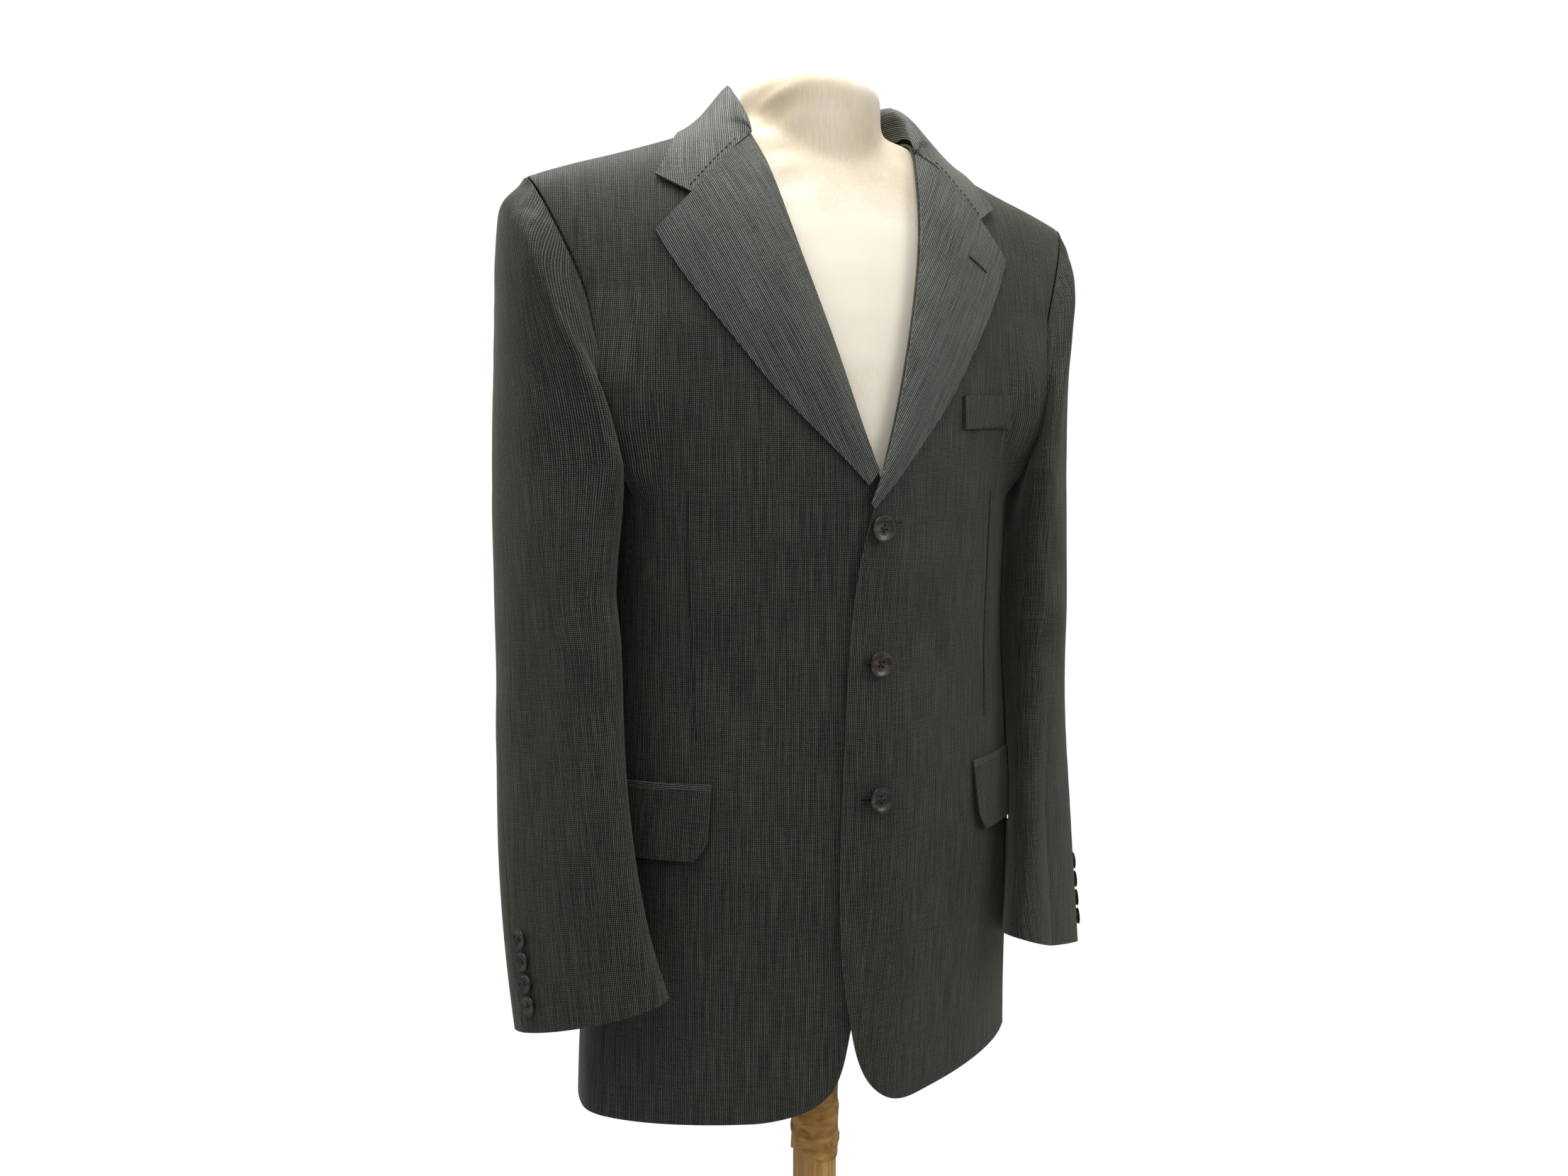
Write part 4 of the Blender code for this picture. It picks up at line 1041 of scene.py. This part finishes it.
@dataclass
class Fastenings:
    """Front buttons, cuff buttons and their threads."""

    front: Button = field(default_factory=lambda: Button(0.0203, 0.0034))
    cuff: Button = field(default_factory=lambda: Button(0.0150, 0.0030))

    def stand_of(self, node: str) -> Matrix:
        """Place and turn of a CAD button: its back's middle and its face's direction."""
        places = points_of(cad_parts[node])
        places = np.unique(np.round(places, 6), axis=0)
        middle = (places.max(axis=0) + places.min(axis=0)) / 2
        _, _, axes = np.linalg.svd(places - places.mean(axis=0), full_matrices=False)
        face = Vector(axes[2])
        if face.dot(Vector(middle) - Vector((middle[0] * 0.9, 0.06, middle[2]))) < 0:
            face.negate()
        heights = (places - middle) @ np.array(face)
        foot = Vector(middle) + face * float(heights.min())
        return Matrix.Translation(foot) @ face.to_track_quat("Z", "Y").to_matrix().to_4x4()

    def build(self, finishes: Finishes) -> list[bpy.types.Object]:
        """Make eleven buttons with their threads."""
        made = []
        names = [f"button_{n}" for n in (1, 2, 3)]
        names += [f"cuff_button_{side.word}_{n}" for side in Side for n in (1, 2, 3, 4)]
        masters = {}
        for kind, key in ((self.front, "front"), (self.cuff, "cuff")):
            masters[key] = (kind.model(), kind.stitches())
        for name in names:
            button, cross = masters["cuff" if name.startswith("cuff") else "front"]
            stand = self.stand_of(name) @ Matrix.Rotation(0.35 * len(name) + 0.9 * int(name[-1]), 4, "Z")
            for master, word, material, slot in (
                (button, "horn", finishes.horn, "horn"),
                (cross, "thread", finishes.thread, "wool"),
            ):
                copy = add_object(f"{word}_{name}", master.data.copy())
                copy.matrix_world = stand
                settle(copy)
                dress(copy, material, slot, *((name,) if word == "horn" else ()))
                made.append(copy)
        for button, cross in masters.values():
            bpy.data.objects.remove(button)
            bpy.data.objects.remove(cross)
        return made


class Eye:
    """The photograph's camera, for placing what is sewn at a pixel on the cloth beneath it."""

    def __init__(self) -> None:
        """Work out the camera's axes."""
        level = Vector((math.sin(CAMERA_TURN), -math.cos(CAMERA_TURN), 0)) * math.cos(CAMERA_TILT)
        self.ahead = -(level + Vector((0, 0, math.sin(CAMERA_TILT))))
        self.right = self.ahead.cross(Vector((0, 0, 1))).normalized()
        self.up = self.right.cross(self.ahead)

    def ray(self, x: float, y: float) -> Vector:
        """Direction through a pixel of the photograph."""
        across, down = x - PHOTO[0] / 2, y - PHOTO[1] / 2
        return (self.ahead * FOCAL_PX + self.right * across - self.up * down).normalized()

    def on(self, cloth: BVHTree, x: float, y: float) -> tuple[Vector, Vector] | None:
        """Place and outward normal of the cloth behind a pixel, or None where it misses."""
        spot, normal, _, _ = cloth.ray_cast(CAMERA_PLACE, self.ray(x, y))
        if spot is None:
            return None
        return spot, (normal if normal.dot(self.ray(x, y)) < 0 else -normal)


# Places on the cloth, each with its outward normal.
Spots = list[tuple[Vector, Vector]]


@dataclass
class Sewing:
    """Seams, buttonholes and hand stitches that show on the cloth, placed by the photograph.

    Attributes:
        eye: the photograph's camera.
        thread: half the thickness of a thread, in metres.
        dart_press: depth that the cloth is pressed down beside a dart.
        dart_width: how far from the dart that fades.
    """

    eye: Eye = field(default_factory=Eye)
    thread: float = 0.00035
    dart_press: float = 0.0008
    dart_width: float = 0.0065

    def cloth(self, *nodes: str) -> BVHTree:
        """Search tree over the pieces for some nodes."""
        return surface_tree([bpy.data.objects[f"cloth_{node}"].data for node in nodes])

    def run(self, cloth: BVHTree, pixels: list[tuple[float, float]], step: float) -> Spots:
        """Spots on the cloth along a line of pixels, about one step apart in metres."""
        spots = []
        for (x0, y0), (x1, y1) in zip(pixels, pixels[1:]):
            count = max(int(math.hypot(x1 - x0, y1 - y0) / 1.7 / (step * 1000)), 1)
            for i in range(count):
                found = self.eye.on(cloth, x0 + (x1 - x0) * i / count, y0 + (y1 - y0) * i / count)
                if found:
                    spots.append(found)
        return spots

    def mirrored(self, cloth: BVHTree, spots: Spots) -> Spots:
        """The same spots on the other side of the body, settled on its cloth."""
        result = []
        for spot, _ in spots:
            place, normal, _, _ = cloth.find_nearest(Vector((-spot.x, spot.y, spot.z)))
            outward = place - Vector((place.x * 0.4, RIDGE_Y, min(place.z, CHEST_Z)))
            result.append((place, normal if normal.dot(outward) > 0 else -normal))
        return result

    def seam(self, name: str, spots: Spots, radius: float) -> bpy.types.Object:
        """Dark thread tube along a seam, sunk to its middle in the cloth: painted shade of the seam's groove.
        """
        return tube(name, [spot + normal * radius * 0.1 for spot, normal in spots], radius, 6)

    def dashes(self, name: str, spots: Spots, share: float) -> bpy.types.Object:
        """Row of separate stitches along spots."""
        bars = []
        for (a, normal), (b, _) in zip(spots, spots[1:]):
            end = a.lerp(b, share)
            lift = normal * self.thread * 0.5
            middle = (a + end) / 2 + normal * self.thread * 1.1
            points = [a - lift * 0.5, a + lift, middle, end + lift, end - lift * 0.5]
            bars.append(tube("stitch", points, self.thread))
        return join(bars, name)

    def buttonhole(self, name: str, ends: tuple, normal: Vector, width: float) -> bpy.types.Object:
        """Worked hole between two ends: close loops with an eye at the start, and the dark slit, a thread tube
        that is painted shade in the cut.
        """
        start, end = ends
        run = (end - start).normalized()
        aside = normal.cross(run)
        length = (end - start).length
        edge = []
        for i in range(29):
            turn = 2 * math.pi * i / 28
            along = (1 - math.cos(turn)) / 2
            bulge = 1.0 + 0.8 * math.exp(-((along / 0.16) ** 2))
            out = aside * math.sin(turn) * width / 2 * bulge
            edge.append(start + run * along * length + out + normal * self.thread)
        loops = tube("loops", edge, width * 0.24, 6)
        # The slit is a dark thread tube: painted shade in the cut opening.
        slit = tube("slit", [start.lerp(end, s) + normal * 1e-4 for s in (0.05, 0.5, 0.95)], width * 0.20, 6)
        return join([loops, slit], name)

    def darts(self, left: BVHTree, right: BVHTree) -> list[bpy.types.Object]:
        """Sew the dart of each front, with the cloth pressed down beside it and a dark tube along it as
        painted shade of its groove.
        """
        made = []
        near = self.run(right, [(969, 690), (972, 823), (977, 957), (983, 1062)], 0.010)
        for side, spots in ((Side.RIGHT, near), (Side.LEFT, self.mirrored(left, near))):
            tree = spot_tree([spot for spot, _ in spots])
            front = bpy.data.objects[f"cloth_front_{side.word}"]
            places = points_of(front)
            away = away_from_body(places)
            gaps = np.array([tree.find(Vector(place))[2] for place in places])
            press = self.dart_press * np.exp(-((gaps / self.dart_width) ** 2))
            put_points(front, places - away * press[:, None])
            sunk = [(spot - normal * 0.0004, normal) for spot, normal in spots]
            # The dart line is a dark thread tube: painted shade of the sewn groove.
            made.append(self.seam(f"dart_{side.word}", sunk, 0.0006))
        return made

    def build(self, finishes: Finishes) -> list[bpy.types.Object]:
        """Make everything that is sewn on the cloth."""
        made = []
        left, right = self.cloth("front_left"), self.cloth("front_right")
        made += self.darts(left, right)
        gorge = self.run(self.cloth("collar", "lapel_right"), [(968, 266), (1006, 225), (1046, 186)], 0.0042)
        made.append(self.dashes("gorge_stitches_right", gorge, 0.5))
        far = self.mirrored(self.cloth("collar", "lapel_left"), gorge)
        made.append(self.dashes("gorge_stitches_left", far, 0.5))
        slit = self.run(self.cloth("lapel_left"), [(1367, 362), (1391.5, 384.5)], 0.03)
        far_end = self.eye.on(self.cloth("lapel_left"), 1391.5, 384.5)
        if slit and far_end:
            made.append(self.buttonhole("lapel_buttonhole", (slit[0][0], far_end[0]), slit[0][1], 0.0016))
        for number, first, last in (
            (1, (1248, 742), (1272, 737)),
            (2, (1222, 938), (1246, 938)),
            (3, (1212, 1129), (1238, 1129)),
        ):
            a, b = self.eye.on(left, *first), self.eye.on(left, *last)
            if a and b:
                ends = (b[0], a[0]) if number == 1 else (a[0], b[0])
                made.append(self.buttonhole(f"buttonhole_{number}", ends, a[1], 0.0024))
        welt = self.run(self.cloth("breast_welt"), [(1366, 606), (1427, 600.5)], 0.003)
        if len(welt) > 2:
            made.append(self.dashes("welt_stitches", welt, 0.6))
        for piece in made:
            dress(piece, finishes.thread, "wool")
        return made


@dataclass
class Form:
    """Padded dress form under a stretched jersey cover, gathered a little at the neck.

    Attributes:
        voxel: size of the cells that the surface is rebuilt from.
        rounds: times that it is smoothed.
        middle_y: place of the neck's middle, front to back.
        neck_z: height of the neck's top.
        creases: drag lines of the cover on the neck.
    """

    voxel: float = 0.0035
    rounds: int = 24
    middle_y: float = 0.014
    neck_z: float = 1.46
    creases: tuple[Crease, ...] = creases_from(
        (-62, -6, 1470, -30, -44, 1490, 4.5, 2.2),
        (-64, -12, 1452, -24, -52, 1482, 4.5, -2.4),
        (-66, -18, 1438, -18, -56, 1474, 5.0, 2.4),
        (-66, -26, 1424, -12, -60, 1462, 5.5, -2.2),
        (-66, -34, 1410, -8, -64, 1448, 6.5, 1.8),
        (-60, -46, 1396, -6, -70, 1430, 7.0, -1.3),
        (50, 20, 1488, 10, -46, 1492, 4.0, -0.9),
        (40, 50, 1480, -40, 52, 1484, 6.0, -1.0),
        (55, 40, 1450, 60, 10, 1420, 7.0, 1.0),
    )

    def build(self, finishes: Finishes) -> bpy.types.Object:
        """Make the form."""
        form = add_object("form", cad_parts["form_torso"].data.copy())
        with editing(form):
            bpy.ops.mesh.select_all(action="SELECT")
            bpy.ops.mesh.remove_doubles(threshold=2e-5)
            bpy.ops.mesh.customdata_custom_splitnormals_clear()
        apply(form, "REMESH", mode="VOXEL", voxel_size=self.voxel)
        apply(form, "SMOOTH", factor=0.5, iterations=self.rounds)
        places = points_of(form)
        away = away_from(places, 0.0, self.middle_y, np.minimum(places[:, 2], self.neck_z))
        put_points(form, places + away * crease_depth(places, self.creases)[:, None])
        only(form)
        bpy.ops.object.shade_smooth()
        return dress(form, finishes.jersey, "jersey", "form_torso")


@dataclass
class Stand:
    """Turned pole, its crumpled paper wrap, and the round foot.

    Attributes:
        wrap_creases: creases round the paper.
        foot_thick: thickness of the foot at its edge, in metres.
    """

    wrap_creases: int = 9
    foot_thick: float = 0.022

    def turned(self, name: str, node: str, edge: float) -> bpy.types.Object:
        """Round bar over a CAD node's height and width, with softened ends."""
        low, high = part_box(node)
        middle = tuple((a + b) / 2 for a, b in zip(low, high))
        bar = drum(name, (high[0] - low[0]) / 2, high[2] - low[2], middle, vertices=64)
        with editing(bar, "EDGE") as shape:
            pick_edges(bar, shape, is_level)
            bpy.ops.mesh.bevel(offset=edge, segments=3, profile=0.5)
        smooth(bar, 40)
        return bar

    def wrap(self) -> bpy.types.Object:
        """Paper round the pole, with creases that lean round it and an uneven lower edge."""
        low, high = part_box("pole_wrap")
        radius, middle = (high[0] - low[0]) / 2 + 0.0004, (0, 0, (low[2] + high[2]) / 2)
        paper = drum("paper_wrap", radius, high[2] - low[2], middle, vertices=72, end_fill_type="NOTHING")
        with editing(paper, "EDGE") as shape:
            pick_edges(paper, shape, lambda e: abs(e.verts[0].co.z - e.verts[1].co.z) > 0.05)
            bpy.ops.mesh.subdivide(number_cuts=70)
        places = points_of(paper)
        turn = np.arctan2(places[:, 1], places[:, 0])
        height = places[:, 2]
        bulge = np.zeros(len(places))
        first, spacing, width, ridge, trough = 0.02, 0.021, 0.0035, 0.0013, 0.0008
        for k in range(self.wrap_creases):
            level = low[2] + first + k * spacing + 0.006 * math.sin(5.1 * k)
            line = level + 0.012 * np.sin(turn + 1.9 * k) + 0.003 * np.sin(3 * turn + k)
            gap = (height - line) / width
            reach = np.clip(np.cos((turn - 1.3 * k) / 1.6), 0, 1)
            bulge += (ridge * np.exp(-(gap**2)) - trough * np.exp(-((gap - 1.6) ** 2))) * reach
        bulge += 0.0005 * np.sin(7 * turn + height * 160) * np.sin(height * 95)
        places[:, 0] += np.cos(turn) * bulge
        places[:, 1] += np.sin(turn) * bulge
        foot = np.clip(1 - (height - low[2]) / 0.03, 0, 1)
        places[:, 2] += foot * (0.006 + 0.005 * np.sin(turn * 2 + 0.7))
        put_points(paper, places)
        apply(paper, "SOLIDIFY", thickness=0.0006, offset=-1.0)
        smooth(paper, 60)
        return paper

    def build(self, finishes: Finishes) -> list[bpy.types.Object]:
        """Make the pole, the wrap and the foot."""
        pole = dress(self.turned("wooden_pole", "pole", 0.001), finishes.wood, "pale_wood", "pole")
        wrap = dress(self.wrap(), finishes.paper, "wrap_paper", "pole_wrap")
        low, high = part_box("base")
        thick = self.foot_thick
        foot = drum("wooden_foot", (high[0] - low[0]) / 2, thick, (0, 0, thick / 2), vertices=96)
        with editing(foot) as shape:
            pick_faces(foot, shape, lambda face: face.normal.z > 0.9)
            bpy.ops.mesh.inset(thickness=(high[0] - low[0]) / 2 - 0.040)
            bpy.ops.mesh.inset(thickness=0.006)
            bpy.ops.transform.translate(value=(0, 0, high[2] - thick))
            bpy.ops.mesh.inset(thickness=0.014)
            bpy.ops.transform.translate(value=(0, 0, -(high[2] - thick) - 0.010))
        with editing(foot, "EDGE") as shape:
            sharp = math.radians(40)
            pick_edges(foot, shape, lambda edge: is_level(edge) and edge.calc_face_angle(0) > sharp)
            bpy.ops.mesh.bevel(offset=0.0018, segments=3, profile=0.5)
        smooth(foot, 40)
        return [pole, wrap, dress(foot, finishes.wood, "pale_wood", "base")]


# Soft square lights: name, place, what it faces, width in metres and power in watts.
LAMPS = (
    ("key", (-1.2, -1.3, 3.0), (0, 0, 1.3), 1.4, 17.0),
    ("fill", (1.7, -1.6, 2.2), (0, 0, 1.2), 1.5, 23.0),
    ("top", (-0.3, 0.1, 2.7), (0, 0, 1.4), 1.2, 42.0),
)


@dataclass
class Studio:
    """Pale floor, soft light and the photograph's camera."""

    floor_radius: float = 1.0

    def aim(self, thing: bpy.types.Object, place: Vector, ahead: Vector) -> None:
        """Put a light or camera at a place, looking ahead."""
        thing.location = place
        thing.rotation_euler = ahead.to_track_quat("-Z", "Y").to_euler()

    def build(self) -> None:
        """Make the floor, the lights and the camera."""
        bpy.ops.object.select_all(action="DESELECT")
        bpy.ops.mesh.primitive_circle_add(
            vertices=96, radius=self.floor_radius, fill_type="NGON", location=(0, 0, -0.0005)
        )
        floor = bpy.context.view_layer.objects.active
        floor.name = "floor"
        settle(floor)
        matt, nodes, shader = start_material("painted_floor_matt")
        feed(nodes, shader, {"Base Color": linear("#f4f3f0"), "Roughness": 0.9})
        floor.data.materials.append(matt)
        world = bpy.data.worlds.new("studio")
        bpy.context.scene.world = world
        world.use_nodes = True
        tree = world.node_tree
        soft = tree.nodes["Background"]
        feed(tree, soft, {"Color": linear("#f7f9ff"), "Strength": 0.36})
        # The paper backdrop is lit by itself: it shows white and adds nothing to the soft light.
        paper = add_node(tree, "ShaderNodeBackground", {"Color": linear("#ffffff"), "Strength": 1.0})
        seen = add_node(tree, "ShaderNodeLightPath").outputs["Is Camera Ray"]
        sky = add_node(tree, "ShaderNodeMixShader", {0: seen, 1: soft.outputs[0], 2: paper.outputs[0]})
        tree.links.new(sky.outputs[0], tree.nodes["World Output"].inputs["Surface"])
        for name, place, target, size, power in LAMPS:
            lamp = bpy.data.lights.new(name, "AREA")
            lamp.size = size
            lamp.energy = power
            self.aim(add_object(name, lamp), Vector(place), Vector(target) - Vector(place))
        lens = bpy.data.cameras.new("photo_camera")
        lens.sensor_width = 36.0
        lens.lens = FOCAL_PX / PHOTO[0] * 36.0
        lens.clip_start = 0.01
        camera = add_object("photo_camera", lens)
        self.aim(camera, CAMERA_PLACE, Eye().ahead)
        bpy.context.scene.camera = camera
        bpy.context.scene.view_settings.view_transform = "Standard"


def main() -> None:
    """Build the jacket, its form and stand, and the studio."""
    logging.basicConfig(level=logging.INFO, format="%(message)s")
    finishes = Finishes()
    form = Form().build(finishes)
    LOG.info("form: %d faces", len(form.data.polygons))
    body = Panels({"front": 3, "side": 2, "back": 2}, 0.7, hem_and_front)
    sleeves = Panels({"top_sleeve": 3, "under_sleeve": 2}, 0.8, cuff_edge, arm=True)
    for assembly in (body, sleeves, Revers(), Pockets()):
        for node, piece in assembly.build(finishes).items():
            faces = len(bpy.data.objects[f"cloth_{node}"].data.polygons)
            LOG.info("%s: cut %.3f x %.3f m, %.4f m2, %d faces", node, *piece.flat, piece.area, faces)
    for assembly in (Fastenings(), Sewing(), Stand()):
        for piece in assembly.build(finishes):
            LOG.info("%s: %d faces", piece.name, len(piece.data.polygons))
    Studio().build()


if __name__ == "__main__":
    main()
